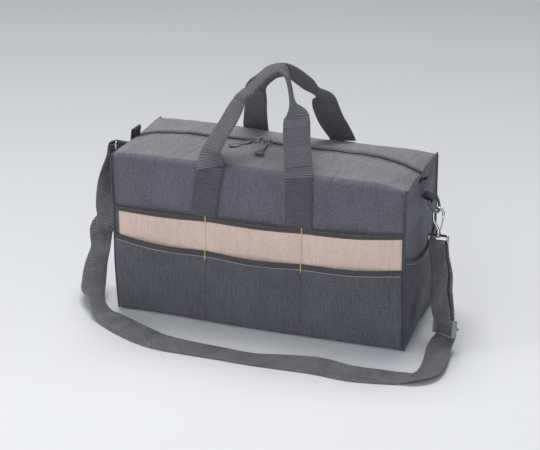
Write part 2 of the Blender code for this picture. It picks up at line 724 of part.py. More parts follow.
def make_eye(name, side):
    foot, along, _ = hook_frame(side)
    bar, across = eye_frame(side)
    half = STRAP_WIDTH / 2 + EYE_SIDE_CLEARANCE + EYE_BAR_RADIUS
    top = foot + along * EYE_TOP
    corner = EYE_BAR_RADIUS
    path = []
    for sign, row in ((1, top), (1, bar), (-1, bar), (-1, top)):
        inward = along if row is top else -along
        first = row + across * sign * half + inward * corner
        second = row + across * sign * (half - corner)
        path += [first, second] if (row is bar) == (sign == 1) else [second, first]
    frame = as_mesh(tube(f"{name}_swivel_eye", path, EYE_BAR_RADIUS, "metal", closed=True))
    rise = along * BOSS_HEIGHT / 2
    boss = cylinder(f"{name}_eye_boss", top - rise, top + rise, BOSS_RADIUS, "metal", 16)
    combine(frame, [boss])
    bore = PIN_RADIUS + PIN_CLEARANCE
    hole = cylinder(f"{name}_eye_bore", top - rise * 2, top + rise * 2, bore, "metal", 16)
    combine(frame, [hole], "DIFFERENCE")


def eye_wrap(side):
    """Strap points round an eye's bar, from the main layer over the bar to the inner layer."""
    bar, across = eye_frame(side)
    leave = Vector(STRAP_LEAVES[side])
    leave = (leave - across * leave.dot(across)).normalized()
    normal = across.cross(leave) * side
    radius = EYE_BAR_RADIUS + LOOP_CLEARANCE + STRAP_THICKNESS / 2
    out = []
    for k in range(7):
        turn = math.pi * k / 6
        out.append(bar + normal * radius * math.cos(turn) - leave * radius * math.sin(turn))
    return out, normal, leave, across


def on_floor(across, tangent):
    """How high the strap's middle lies when its lower edge touches the floor."""
    side = (across - tangent * across.dot(tangent)).normalized()
    normal = tangent.cross(side)
    return GAP + abs(side.z) * STRAP_WIDTH / 2 + abs(normal.z) * STRAP_THICKNESS / 2


def drop_points(side, shares):
    """Places on one of the strap's drops, measured from that side's eye."""
    bar = eye_frame(side)[0]
    return [bar + Vector((side * x * STRAP_WIDTH, y * HALF_DEPTH, -z * bar.z)) for (x, y, z), _ in shares]


def strap_route():
    """The main layer's points and its directions across, from the left eye to the right one."""
    left = drop_points(-1, LEFT_DROP_SHARES)
    floor = [Vector((x * HALF_LENGTH, y * HALF_DEPTH, 0)) for (x, y), _ in FLOOR_SHARES]
    points = [*left, *floor, *drop_points(1, RIGHT_RISE_SHARES), *drop_points(1, RIGHT_TOP_SHARES)]
    shares = [*LEFT_DROP_SHARES, *FLOOR_SHARES, *RIGHT_RISE_SHARES, *RIGHT_TOP_SHARES]
    across = [Vector(direction).normalized() for _, direction in shares]
    for i, point in enumerate(points):
        if point.z == 0:
            before, after = points[i - 1], points[i + 1]
            tangent = Vector((after.x - before.x, after.y - before.y, 0)).normalized()
            point.z = on_floor(across[i], tangent)
    return points, across


def make_strap():
    points, across = strap_route()
    wraps = {side: eye_wrap(side) for side in (-1, 1)}
    points = [wraps[-1][0][0], *points, wraps[1][0][0]]
    across = [wraps[-1][3], *across, wraps[1][3]]
    steps = 2
    main = smooth_through(points, steps)
    main_across = smooth_through(across, steps)
    directions = frames(main, main_across)
    spans = {}
    for side in (-1, 1):
        count = INNER_LAYER_POINTS[side]
        wrap, normal, _, bar_across = wraps[side]
        inner, inner_across = [], []
        for k in range(1, count + 1):
            i = k if side < 0 else len(main) - 1 - k
            fade = k / count
            towards = directions[i][2] if directions[i][2].dot(normal) < 0 else -directions[i][2]
            radius = EYE_BAR_RADIUS + LOOP_CLEARANCE + STRAP_THICKNESS / 2
            spacing = 2 * radius * (1 - fade) + LAYER_SPACING * fade
            inner.append(main[i] + towards * spacing)
            inner_across.append(directions[i][1])
        spans[side] = (wrap[1:] + inner, [bar_across] * (len(wrap) - 1) + inner_across)
    path = [*reversed(spans[-1][0]), *main, *spans[1][0]]
    sides = [*reversed(spans[-1][1]), *main_across, *spans[1][1]]
    count = len(path)
    ribbon("shoulder_strap", path, sides, [STRAP_WIDTH] * count, [STRAP_THICKNESS] * count, "strap")


def adjuster_frame():
    points, across = strap_route()
    i = len(points) - len(RIGHT_TOP_SHARES)
    tangent = (points[i + 1] - points[i - 1]).normalized()
    side = (across[i] - tangent * across[i].dot(tangent)).normalized()
    return points[i], tangent, side, tangent.cross(side)


def make_adjuster():
    """A tri-glide: two outer bars in front of the strap, one behind it, and two rails past its edges."""
    middle, tangent, side, normal = adjuster_frame()
    front = normal if normal.y < 0 else -normal
    half = STRAP_WIDTH / 2 + ADJUSTER_SIDE + ADJUSTER_BAR / 2
    bar = ADJUSTER_BAR / 2
    lift = STRAP_THICKNESS / 2 + ADJUSTER_SLOT + bar
    reach = ADJUSTER_LENGTH / 2 - bar
    overrun = bar * 0.2
    turn = Matrix((side, tangent, front)).transposed().to_4x4()

    def block(name, centre, sizes):
        made = box(name, [-size for size in sizes], sizes, "metal")
        made.matrix_world = Matrix.Translation(centre) @ turn
        return made

    long = half + bar - overrun
    base = block("strap_adjuster", middle + side * half, (bar, reach + bar, lift + bar))
    other = block("adjuster_rail", middle - side * half, (bar, reach + bar, lift + bar))
    bars = []
    for k, sign in enumerate((-1, 1)):
        centre = middle + tangent * reach * sign + front * lift
        bars.append(block(f"adjuster_bar_{k}", centre, (long, bar - overrun, bar - overrun)))
    bars.append(block("adjuster_back_bar", middle - front * lift, (long, bar - overrun, bar - overrun)))
    combine(base, [*bars, other])


def pivot_at(point, *names):
    """Puts the origins of moving pieces on their joint's axis."""
    for name in names:
        made = BAG.objects[name]
        made.data.transform(Matrix.Translation(-point))
        made.location = point


def place_pivots():
    for name, facing in (("front", -1), ("back", 1)):
        hinge = Vector((0, facing * HINGE_Y, HINGE_Z))
        pivot_at(hinge, f"{name}_top_panel", f"{name}_zip_tape", f"{name}_zip_coil", f"{name}_handle")
    for name, side in (("left", -1), ("right", 1)):
        pivot_at(Vector((slider_x(side), 0, HINGE_Z + CROWN)), f"{name}_zip_slider")
        pivot_at(pull_frame(side)[0], f"{name}_pull_ring", f"{name}_pull_tab")
        pivot_at(ring_bar(side), f"{name}_d_ring")
        pivot_at(ring_foot(side), f"{name}_snap_hook")
        pivot_at(gate_pivot(side), f"{name}_hook_gate")
    strap_axis = Vector((0, 0, RING_BAR_HEIGHT - SWING_DROP))
    pivot_at(strap_axis, "shoulder_strap", "left_swivel_eye", "right_swivel_eye")


make_shell()
make_pockets()
make_top()
make_slider("left", -1)
make_slider("right", 1)
make_zip_tab("left", -1)
make_zip_tab("right", 1)
make_handle("front", -1, FRONT_HANDLE_SHARES)
make_handle("back", 1, BACK_HANDLE_SHARES)
for end_name, end_side in (("left", -1), ("right", 1)):
    make_ring(end_name, end_side)
    make_hook(end_name, end_side)
    make_eye(end_name, end_side)
make_strap()
make_adjuster()
place_pivots()
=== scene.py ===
import math
from bisect import bisect_left
from functools import partial

import bmesh
import bpy
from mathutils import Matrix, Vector, noise


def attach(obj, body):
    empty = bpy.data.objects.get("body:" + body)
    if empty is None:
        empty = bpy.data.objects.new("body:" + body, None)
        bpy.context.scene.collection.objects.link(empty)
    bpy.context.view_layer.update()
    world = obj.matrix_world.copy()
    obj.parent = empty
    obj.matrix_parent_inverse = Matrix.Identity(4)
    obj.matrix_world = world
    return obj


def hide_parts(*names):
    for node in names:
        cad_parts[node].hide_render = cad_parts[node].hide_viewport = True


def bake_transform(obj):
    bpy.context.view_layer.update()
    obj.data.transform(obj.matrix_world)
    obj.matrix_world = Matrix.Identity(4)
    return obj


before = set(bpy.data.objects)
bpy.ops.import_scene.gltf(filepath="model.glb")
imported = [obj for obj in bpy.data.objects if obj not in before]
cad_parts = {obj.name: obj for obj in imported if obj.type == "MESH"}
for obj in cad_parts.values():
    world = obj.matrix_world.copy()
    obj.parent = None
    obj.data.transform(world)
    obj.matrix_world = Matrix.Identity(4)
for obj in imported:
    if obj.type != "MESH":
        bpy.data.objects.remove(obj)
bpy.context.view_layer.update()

mm = 0.001
body = {  # the bag's own sizes, the same as its solids have
    "length": 0.457, "depth": 0.188, "height": 0.248, "crown": 0.012, "bulge": 0.004, "endBulge": 0.005,
    "hingeOut": 0.0015, "hingeUp": 0.001, "sag": 0.0016, "topSag": 0.0024,
}
halfLength = body["length"] / 2
halfDepth = body["depth"] / 2
hingeY = halfDepth + body["hingeOut"]
hingeZ = body["height"] + body["hingeUp"]
longSides = (("front", -1), ("back", 1))
endSides = (("left", -1), ("right", 1))
wayX, wayY, wayZ = Vector((1, 0, 0)), Vector((0, 1, 0)), Vector((0, 0, 1))
made = []


# small helpers

def say(text):
    print("[tool bag]", text)


def limited(share):
    return min(max(share, 0.0), 1.0)


def bell(share):
    return math.sin(math.pi * limited(share))


def ease(share):
    share = limited(share)
    return share * share * (3 - 2 * share)


def grow(value, start, over):
    # eases from nothing at start to one, over a length
    return ease((value - start) / over)


def mix(a, b, share):
    return a + (b - a) * share


def waver(x, y, z):
    return noise.noise(Vector((x, y, z)))


def bezier(a, b, c, d, t):
    s = 1 - t
    return a * s**3 + b * 3 * s * s * t + c * 3 * s * t * t + d * t**3


def rounded(turn, power):
    # a point of a circle that is squared off by power
    a, b = math.cos(turn), math.sin(turn)
    scale = (abs(a) ** power + abs(b) ** power) ** (-1 / power)
    return a, b, scale


def smoothPath(points, steps):
    out = []
    for i in range(len(points) - 1):
        before, start = points[max(i - 1, 0)], points[i]
        end, after = points[i + 1], points[min(i + 2, len(points) - 1)]
        for k in range(steps):
            t = k / steps
            pull = (end - before) * (t - 2 * t * t + t**3) / 2
            push = (after - start) * (t**3 - t * t) / 2
            share = t * t * (3 - 2 * t)
            out.append(start * (1 - share) + end * share + pull + push)
    return [*out, points[-1]]


def tangentAt(points, i, closed=False):
    if closed:
        return (points[(i + 1) % len(points)] - points[i - 1]).normalized()
    return (points[min(i + 1, len(points) - 1)] - points[max(i - 1, 0)]).normalized()


def halfTurn(steps):
    return [math.pi * k / steps for k in range(steps + 1)]


def arc(centre, start, quarter, turns):
    # points round a centre; start and quarter are where no turn and a quarter of one lead
    return [centre + start * math.cos(turn) + quarter * math.sin(turn) for turn in turns]


def upright(direction, axis):
    # the part of a direction that is square to an axis
    return (direction - axis * direction.dot(axis)).normalized()


def pathFrames(points, across):
    out = []
    for i, side in enumerate(across):
        tangent = tangentAt(points, i)
        side = upright(side, tangent)
        out.append((tangent, side, tangent.cross(side)))
    return out


def lengthsAlong(points):
    along = [0.0]
    for before, after in zip(points, points[1:]):
        along.append(along[-1] + (after - before).length)
    return along


def dress(piece, rides, slotName, *nodes):
    # gives a piece its body and the solids that it stands for
    if nodes:
        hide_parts(*nodes)
    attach(piece, rides)


def newObject(name, bm, materials, smooth=40):
    mesh = bpy.data.meshes.new(name)
    bm.to_mesh(mesh)
    bm.free()
    piece = bpy.data.objects.new(name, mesh)
    bpy.context.scene.collection.objects.link(piece)
    for material in materials if isinstance(materials, list) else [materials]:
        mesh.materials.append(material)
    mesh.shade_smooth()
    if smooth:
        mesh.set_sharp_from_angle(angle=math.radians(smooth))
    made.append(piece)
    return piece


def gridPiece(name, place, columns, rows, materials, size, thickness, pickSlot=None, flip=False):
    # place(u, v) gives each point; size is the cloth's width and height, for its weave
    bm = bmesh.new()
    uvLayer = bm.loops.layers.uv.new("weave")
    points = []
    for j in range(rows + 1):
        points.append([bm.verts.new(place(i / columns, j / rows)) for i in range(columns + 1)])
    for j in range(rows):
        for i in range(columns):
            corners = [(i, j), (i + 1, j), (i + 1, j + 1), (i, j + 1)]
            if flip:
                corners.reverse()
            face = bm.faces.new([points[b][a] for a, b in corners])
            for loop, (a, b) in zip(face.loops, corners):
                loop[uvLayer].uv = (a / columns * size[0], b / rows * size[1])
            if pickSlot:
                face.material_index = pickSlot((i + 0.5) / columns, (j + 0.5) / rows)
    piece = newObject(name, bm, materials)
    solid = piece.modifiers.new("thickness", "SOLIDIFY")
    solid.thickness = thickness
    solid.offset = -1.0
    solid.material_offset = len(materials) // 2 if isinstance(materials, list) else 0
    return piece


def closeBands(bm, rings):
    # faces from each ring of points to the next
    for before, after in zip(rings, rings[1:]):
        for i in range(len(before)):
            j = (i + 1) % len(before)
            bm.faces.new((before[i], before[j], after[j], after[i]))


def sweep(name, points, frames, sections, material, closed=False, smooth=40):
    # sweeps closed sections, lists of (across, up), along points; one frame or section may serve them all
    frames = [frames] * len(points) if isinstance(frames, tuple) else frames
    sections = [sections] * len(points) if isinstance(sections[0], tuple) else sections
    bm = bmesh.new()
    uvLayer = bm.loops.layers.uv.new("weave")
    rings = []
    for point, (_, side, up), section in zip(points, frames, sections):
        rings.append([bm.verts.new(point + side * a + up * b) for a, b in section])
    along = lengthsAlong(points)  # the weave runs along the piece
    count, total = len(sections[0]), len(rings)
    for j in range(total if closed else total - 1):
        nextJ = (j + 1) % total
        for i in range(count):
            nextI = (i + 1) % count
            places = [(j, i), (j, nextI), (nextJ, nextI), (nextJ, i)]
            face = bm.faces.new([rings[b][a] for b, a in places])
            for loop, (b, a) in zip(face.loops, places):
                row = along[-1] + 0.001 if closed and b == 0 and j == total - 1 else along[b]
                loop[uvLayer].uv = (sections[b][a][0], row)
    if not closed:
        bm.faces.new(list(reversed(rings[0])))
        bm.faces.new(rings[-1])
    bmesh.ops.recalc_face_normals(bm, faces=bm.faces)
    return newObject(name, bm, material, smooth)


def flatSection(width, thickness, rounding=0.35, crease=0.0):
    # a webbing section with rounded edges; crease lifts its middle
    w, t = width / 2, thickness / 2
    r = t * rounding * 2
    shares = (1, 0.6, 0.2, -0.2, -0.6, -1)
    out = [((w - r) * share, t + crease * (1 - share * share)) for share in shares]
    out += [(-w + r * 0.3, t * 0.55), (-w, 0), (-w + r * 0.3, -t * 0.55)]
    out += [((w - r) * share, -t + crease * (1 - share * share)) for share in reversed(shares)]
    return [*out, (w - r * 0.3, -t * 0.55), (w, 0), (w - r * 0.3, t * 0.55)]


def roundSection(radius, sides=10):
    turns = [2 * math.pi * k / sides for k in range(sides)]
    return [(radius * math.cos(turn), radius * math.sin(turn)) for turn in turns]


def scaled(outline, across, up):
    return [(across * a, up * b) for a, b in outline]


def wire(name, points, radius, material, guide, closed=False, sides=12):
    # a round wire; guide is a direction that its section keeps to
    frames = []
    for i in range(len(points)):
        tangent = tangentAt(points, i, closed)
        side = tangent.cross(guide).normalized()
        frames.append((tangent, side, tangent.cross(side)))
    return sweep(name, points, frames, roundSection(radius, sides), material, closed=closed, smooth=60)


def seamRow(steps, place, outward):
    # a row for stitches: place(share) gives its points, which all face outward
    return [(place(k / steps), outward) for k in range(steps + 1)]


def addStitch(bm, start, end, out, radius):
    direction = (end - start).normalized()
    side = direction.cross(out).normalized()
    up = side.cross(direction)
    rings = []
    for share, size in ((0.12, 0.75), (0.5, 1.0), (0.88, 0.75)):
        centre = start.lerp(end, share)
        spokes = [(side * a + up * b) * radius * size for a, b in ((1, 0), (0, 1), (-1, 0), (0, -1))]
        rings.append([bm.verts.new(centre + spoke) for spoke in spokes])
    tips = [bm.verts.new(spot - out * radius * 0.9) for spot in (start, end)]
    closeBands(bm, rings)
    for i in range(4):
        j = (i + 1) % 4
        bm.faces.new((rings[0][j], rings[0][i], tips[0]))
        bm.faces.new((rings[-1][i], rings[-1][j], tips[1]))


def stitches(name, rows, sizes, material, rides="bag", lift=0.15):
    # dashes of thread along rows of (point, outward); sizes are pitch, length and radius in millimetres
    bm = bmesh.new()
    pitch, length, radius = [size * mm for size in sizes]
    for row in rows:
        points = [point for point, _ in row]
        along = lengthsAlong(points)
        count = max(1, int(along[-1] / pitch))
        for k in range(count):
            middle = (k + 0.5) * along[-1] / count
            ends = []
            for place in (middle - length / 2, middle + length / 2):
                place = min(max(place, 0.0), along[-1])
                i = max(0, min(len(points) - 2, bisect_left(along, place) - 1))
                share = (place - along[i]) / max(along[i + 1] - along[i], 1e-9)
                ends.append((points[i].lerp(points[i + 1], share), row[i][1].lerp(row[i + 1][1], share)))
            (start, outStart), (end, outEnd) = ends
            out = (outStart + outEnd).normalized()
            rise = out * (lift * mm)
            addStitch(bm, start + rise, end + rise, out, radius)
    bmesh.ops.recalc_face_normals(bm, faces=bm.faces)
    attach(newObject(name, bm, material, smooth=0), rides)


# materials

def addNode(tree, kind, **values):
    node = tree.nodes.new(kind)
    for key, value in values.items():
        if hasattr(node, key):
            setattr(node, key, value)
        else:
            node.inputs[key].default_value = value
    return node


def groupWith(name, inputs, outputs):
    # a socket takes its kind from its default: none is a vector, and four numbers are a colour
    tree = bpy.data.node_groups.new(name, "ShaderNodeTree")
    for label, default in inputs.items():
        kind = "Vector" if default is None else "Color" if isinstance(default, tuple) else "Float"
        socket = tree.interface.new_socket(label, in_out="INPUT", socket_type="NodeSocket" + kind)
        if default is not None:
            socket.default_value = default
    for label in outputs:
        kind = "Color" if label == "Colour" else "Float"
        tree.interface.new_socket(label, in_out="OUTPUT", socket_type="NodeSocket" + kind)
    return tree, tree.nodes.new("NodeGroupInput").outputs, tree.nodes.new("NodeGroupOutput").inputs


def feed(tree, socket, value):
    # sets a plain value, or links another socket
    if isinstance(value, (int, float, tuple)):
        socket.default_value = value
    else:
        tree.links.new(value, socket)


def mathNode(tree, operation, a, b=0.0, clamp=False):
    node = addNode(tree, "ShaderNodeMath", operation=operation, use_clamp=clamp)
    feed(tree, node.inputs[0], a)
    feed(tree, node.inputs[1], b)
    return node.outputs[0]


def sumsOf(tree):
    # times, plus and sine
    return [partial(mathNode, tree, kind) for kind in ("MULTIPLY", "ADD", "SINE")]


def mixColour(tree, factor, a, b, kind="MIX"):
    node = addNode(tree, "ShaderNodeMix", data_type="RGBA", blend_type=kind, clamp_factor=True)
    for place, value in ((0, factor), (6, a), (7, b)):
        feed(tree, node.inputs[place], value)
    return node.outputs[2]


def noiseOn(tree, vector, scale, detail, roughness=0.5, distortion=0.0):
    values = {"Scale": scale, "Detail": detail, "Roughness": roughness, "Distortion": distortion}
    node = addNode(tree, "ShaderNodeTexNoise", **values)
    tree.links.new(vector, node.inputs["Vector"])
    return node.outputs[0]


def drift(tree, *noiseValues):
    # noise that swings either side of nothing
    return mathNode(tree, "SUBTRACT", noiseOn(tree, *noiseValues), 0.5)


def stretched(tree, vector, scale, turn=0.0):
    node = addNode(tree, "ShaderNodeMapping", Scale=scale, Rotation=(0.0, 0.0, turn))
    tree.links.new(vector, node.inputs["Vector"])
    return node.outputs[0]


def splitVector(tree, vector):
    node = tree.nodes.new("ShaderNodeSeparateXYZ")
    tree.links.new(vector, node.inputs[0])
    return node.outputs[0], node.outputs[1]


weaveLook = {  # waves and noise to the metre, and how much each one shows
    "ribs": 1900.0, "ribShade": 0.16, "patches": 16.0, "speck": 620.0, "speckShade": 0.8, "mottle": 310.0,
    "mottleShade": 0.62, "slubs": (430.0, 45.0, 1.0), "slubShade": 0.3, "folds": (26.0, 11.0, 1.0),
    "foldTurn": 0.35, "foldSharp": 0.7,
}
ribLook = {
    "zigzag": 0.005, "wobble": 90.0, "wobbleBy": 0.0012, "yarns": 5200.0, "yarnHeight": 0.3,
    "patches": 38.0, "speck": 520.0,
}
markLook = {"smears": 130.0, "smearFrom": 0.35, "scratches": (2600.0, 160.0, 900.0)}


def makeWeave():
    # plain weave with slubs, faded patches and fine folds
    inputs = {
        "Vector": None, "Colour": (0.2, 0.2, 0.2, 1), "Threads": 1400.0, "Ribs": 0.0, "Patches": 0.25,
        "Grain": 1.0,
    }
    tree, source, sink = groupWith("plainWeave", inputs, ("Colour", "Height", "Folds"))
    times, plus, sine = sumsOf(tree)
    vector = source["Vector"]
    x, y = splitVector(tree, vector)
    threads = times(sine(times(x, source["Threads"])), sine(times(y, source["Threads"])))
    rib = times(sine(times(x, weaveLook["ribs"])), source["Ribs"])
    shade = times(drift(tree, vector, weaveLook["patches"], 4.0, 0.6), source["Patches"])
    fine = times(drift(tree, vector, weaveLook["speck"], 3.0, 0.7), weaveLook["speckShade"])
    coarse = times(drift(tree, vector, weaveLook["mottle"], 2.0, 0.6), weaveLook["mottleShade"])
    slub = drift(tree, stretched(tree, vector, weaveLook["slubs"]), 1.0, 2.0, 0.6)
    slub = times(slub, plus(source["Ribs"], weaveLook["slubShade"]))
    grain = times(plus(fine, coarse), source["Grain"])
    total = plus(plus(shade, grain), plus(slub, times(rib, weaveLook["ribShade"])))
    colour = mixColour(tree, 1.0, source["Colour"], plus(1.0, total), "MULTIPLY")
    tree.links.new(colour, sink["Colour"])
    tree.links.new(plus(times(threads, 0.5), plus(rib, fine)), sink["Height"])
    lay = stretched(tree, vector, weaveLook["folds"], weaveLook["foldTurn"])
    ridge = mathNode(tree, "ABSOLUTE", drift(tree, lay, 1.0, 3.0, 0.55, 0.8))
    tree.links.new(mathNode(tree, "POWER", ridge, weaveLook["foldSharp"]), sink["Folds"])
    return tree


def makeRibs():
    # woven webbing: ribs across it, or a herringbone, with rubbed patches
    inputs = {"Vector": None, "Colour": (0.1, 0.1, 0.1, 1), "Pitch": 0.0026, "Zigzag": 0.0, "Contrast": 0.35}
    tree, source, sink = groupWith("webbingRibs", inputs, ("Colour", "Height"))
    times, plus, sine = sumsOf(tree)
    vector = source["Vector"]
    x, y = splitVector(tree, vector)
    fold = mathNode(tree, "PINGPONG", x, ribLook["zigzag"])
    row = plus(y, times(fold, source["Zigzag"]))
    row = plus(row, times(drift(tree, vector, ribLook["wobble"], 2.0), ribLook["wobbleBy"]))
    rib = sine(times(mathNode(tree, "DIVIDE", row, source["Pitch"]), 2 * math.pi))
    height = plus(rib, times(sine(times(x, ribLook["yarns"])), ribLook["yarnHeight"]))
    patches = drift(tree, vector, ribLook["patches"], 4.0, 0.65)
    loose = plus(patches, drift(tree, vector, ribLook["speck"], 2.0, 0.7))
    shade = times(plus(times(height, 0.5), loose), source["Contrast"])
    tree.links.new(mixColour(tree, 1.0, source["Colour"], plus(1.0, shade), "MULTIPLY"), sink["Colour"])
    tree.links.new(height, sink["Height"])
    return tree


def makeHandling():
    # small scratches and finger marks on metal and plastic; on the sliders and pulls the lighter marks are
    # also painted highlights
    tree, source, sink = groupWith("handlingMarks", {"Vector": None, "Amount": 0.4}, ("Mask", "Height"))
    smear = noiseOn(tree, source["Vector"], markLook["smears"], 5.0, 0.65)
    smear = mathNode(tree, "SUBTRACT", smear, markLook["smearFrom"], True)
    scratch = noiseOn(tree, stretched(tree, source["Vector"], markLook["scratches"]), 1.0, 2.0)
    tree.links.new(mathNode(tree, "MULTIPLY", smear, source["Amount"]), sink["Mask"])
    tree.links.new(scratch, sink["Height"])
    return tree


plainWeave = makeWeave()
webbingRibs = makeRibs()
handlingMarks = makeHandling()


def startMaterial(name, values):
    # values are set on the shader's own sockets
    material = bpy.data.materials.new(name)
    material.use_nodes = True
    tree = material.node_tree
    shader = tree.nodes["Principled BSDF"].inputs
    for key, value in values.items():
        shader[key].default_value = value
    return material, tree, shader


def placeGroup(tree, group, vector, values):
    node = addNode(tree, "ShaderNodeGroup", node_tree=group)
    tree.links.new(vector, node.inputs["Vector"])
    for key, value in values.items():
        node.inputs[key].default_value = value
    return node.outputs


def addBump(tree, shader, height, distance, strength=1.0):
    bump = addNode(tree, "ShaderNodeBump", Strength=strength, Distance=distance)
    tree.links.new(height, bump.inputs["Height"])
    tree.links.new(bump.outputs[0], shader["Normal"])
    return bump


def clothMaterial(name, look):
    look = {**plainCloth, **look}
    sheen = {"Sheen Weight": look["sheen"], "Sheen Roughness": 0.5}
    material, tree, shader = startMaterial(name, {"Roughness": 0.85, "Specular IOR Level": 0.3, **sheen})
    coords = addNode(tree, "ShaderNodeUVMap", uv_map="weave")
    values = {key: look[key.lower()] for key in ("Colour", "Threads", "Ribs", "Patches", "Grain")}
    weave = placeGroup(tree, plainWeave, coords.outputs[0], values)
    tree.links.new(weave["Colour"], shader["Base Color"])
    creases = addBump(tree, shader, weave["Folds"], look["folds"], 0.6)
    threads = addBump(tree, shader, weave["Height"], look["bump"])
    tree.links.new(creases.outputs[0], threads.inputs["Normal"])
    return material


def webMaterial(name, colour, pitch, zigzag, contrast):
    values = {"Roughness": 0.7, "Specular IOR Level": 0.35, "Sheen Weight": 0.12}
    material, tree, shader = startMaterial(name, values)
    coords = addNode(tree, "ShaderNodeUVMap", uv_map="weave")
    values = {"Colour": (*colour, 1), "Pitch": pitch * mm, "Zigzag": zigzag, "Contrast": contrast}
    ribs = placeGroup(tree, webbingRibs, coords.outputs[0], values)
    tree.links.new(ribs["Colour"], shader["Base Color"])
    addBump(tree, shader, ribs["Height"], 0.35 * mm)
    return material


def hardMaterial(name, colour, wearAndGlint, metallic, roughness, marks):
    material, tree, shader = startMaterial(name, {"Metallic": metallic})
    coords = tree.nodes.new("ShaderNodeTexCoord")
    handling = placeGroup(tree, handlingMarks, coords.outputs["Object"], {"Amount": marks})
    shade = mixColour(tree, handling["Mask"], (*colour, 1), (*(wearAndGlint or colour), 1))
    tree.links.new(shade, shader["Base Color"])
    rough = mathNode(tree, "ADD", roughness, mathNode(tree, "MULTIPLY", handling["Mask"], 0.35))
    tree.links.new(rough, shader["Roughness"])
    addBump(tree, shader, handling["Height"], 0.02 * mm, 0.5)
    return material


plainCloth = {
    "threads": 5200.0, "ribs": 0.0, "patches": 0.25, "grain": 1.0, "folds": 11 * mm, "bump": 0.12 * mm,
    "sheen": 0.15,
}
looks = {
    # front and top are one charcoal cloth: front is darker and bluer as painted shade on the sides and ends,
    # top is lighter as painted light on the top panel, which faces the light from above
    "front": {"colour": (0.118, 0.112, 0.136, 1), "patches": 0.5, "sheen": 0.2, "grain": 1.5},
    "top": {"colour": (0.176, 0.170, 0.172, 1), "patches": 0.45, "sheen": 0.2, "grain": 1.5},
    "lining": {"colour": (0.05, 0.05, 0.055, 1), "patches": 0.15},
    "pocket": {
        "colour": (0.0965, 0.096, 0.108, 1), "ribs": 0.6, "patches": 0.6, "grain": 1.6, "folds": 7 * mm,
        "bump": 0.2 * mm,
    },
    "endPocket": {"colour": (0.076, 0.073, 0.088, 1), "ribs": 0.3, "patches": 0.55, "grain": 1.5},
    "taupe": {
        "colour": (0.645, 0.492, 0.415, 1), "patches": 0.22, "sheen": 0.3, "bump": 0.08 * mm, "grain": 0.5,
        "folds": 8 * mm,
    },
    "binding": {"colour": (0.066, 0.060, 0.060, 1), "threads": 3600.0, "patches": 0.3, "bump": 0.2 * mm},
    "piping": {"colour": (0.075, 0.073, 0.086, 1), "patches": 0.3},
    "tape": {"colour": (0.03, 0.03, 0.033, 1), "threads": 4200.0},
}
webLooks = {  # colour, rib pitch in millimetres, herringbone and contrast
    "handle": ((0.114, 0.110, 0.122), 3.3, 0.0, 0.62),
    # the anchors are the handles' webbing, darker as painted shade where it lies on the bag's upright sides
    "anchor": ((0.090, 0.086, 0.100), 3.3, 0.0, 0.9),
    "strap": ((0.134, 0.133, 0.137), 3.6, 1.0, 1.75),
    "tab": ((0.045, 0.045, 0.05), 2.0, 0.0, 0.4),
}
hardLooks = {  # colour, colour where it is handled if that differs (on the sliders and pulls partly a painted highlight), metallic, roughness and marks
    "chromePlate": ((0.46, 0.46, 0.48), (0.25, 0.25, 0.27), 1.0, 0.17, 0.9),
    # the D-rings' chrome painted dark as painted shade; its handled patches are lighter
    "gunmetalPlate": ((0.16, 0.16, 0.17), (0.42, 0.42, 0.44), 1.0, 0.22, 0.9),
    "nickelPlate": ((0.30, 0.30, 0.32), (0.16, 0.16, 0.17), 0.35, 0.34, 0.8),
    # the sliders' and pulls' lighter handled patches are part wear, part painted highlight
    "sliderLacquer": ((0.11, 0.11, 0.115), (0.55, 0.55, 0.56), 0.8, 0.3, 1.1),
    "pullRubber": ((0.075, 0.075, 0.08), (0.2, 0.2, 0.21), 0.0, 0.45, 0.8),
    "zipCoil": ((0.022, 0.022, 0.024), None, 0.0, 0.45, 0.2),
    "stiffBoard": ((0.03, 0.03, 0.032), None, 0.0, 0.7, 0.4),
    "tanThread": ((0.27, 0.21, 0.16), None, 0.0, 0.6, 0.3),
    "yellowThread": ((0.72, 0.52, 0.12), None, 0.0, 0.55, 0.2),
    "paleThread": ((0.74, 0.72, 0.69), None, 0.0, 0.6, 0.3),
    "brownThread": ((0.16, 0.10, 0.055), None, 0.0, 0.6, 0.3),
    "darkThread": ((0.04, 0.04, 0.045), None, 0.0, 0.6, 0.3),
}
cloth = {name: clothMaterial(name + "Cloth", look) for name, look in looks.items()}
webs = {name: webMaterial(name + "Webbing", *look) for name, look in webLooks.items()}
hard = {name: hardMaterial(name, *look) for name, look in hardLooks.items()}
say("materials ready")


# the bag's soft shape

def faceBulge(x, z):
    return body["bulge"] * bell(x / body["length"] + 0.5) * bell(z / body["height"])


def endBulge(y, z):
    return body["endBulge"] * bell(y / body["depth"] + 0.5) * bell(z / body["height"])


def crownAt(y):
    return body["crown"] * math.cos(math.pi / 2 * min(abs(y) / halfDepth, 1.0))


def edgeFade(distance, reach=0.03):
    return ease(distance / reach)


def faceSag(facing, x, z):
    # slow hollows and swells that every layer of a long side shares
    fade = edgeFade(halfLength - abs(x)) * edgeFade(z, 0.04)
    slow = waver(x * 8 + 3 * facing, z * 9, 1.7)
    fine = waver(x * 26, z * 22 + 4 * facing, 7.3)
    return fade * body["sag"] * (slow + 0.35 * fine)


endCrease = {  # a fold over the right end, up and back from its front corner, and a slight one above it
    "y": -0.092, "z": 0.012, "rise": 0.085, "run": 0.106, "long": 0.136, "deep": 3.4 * mm, "sharp": 1.5,
    "fold": 0.06, "swell": 0.13, "stop": 0.112, "fade": 0.05,
    "highDeep": 1.6 * mm, "high": 0.178, "highSlope": 0.12, "highFold": 0.03,
}


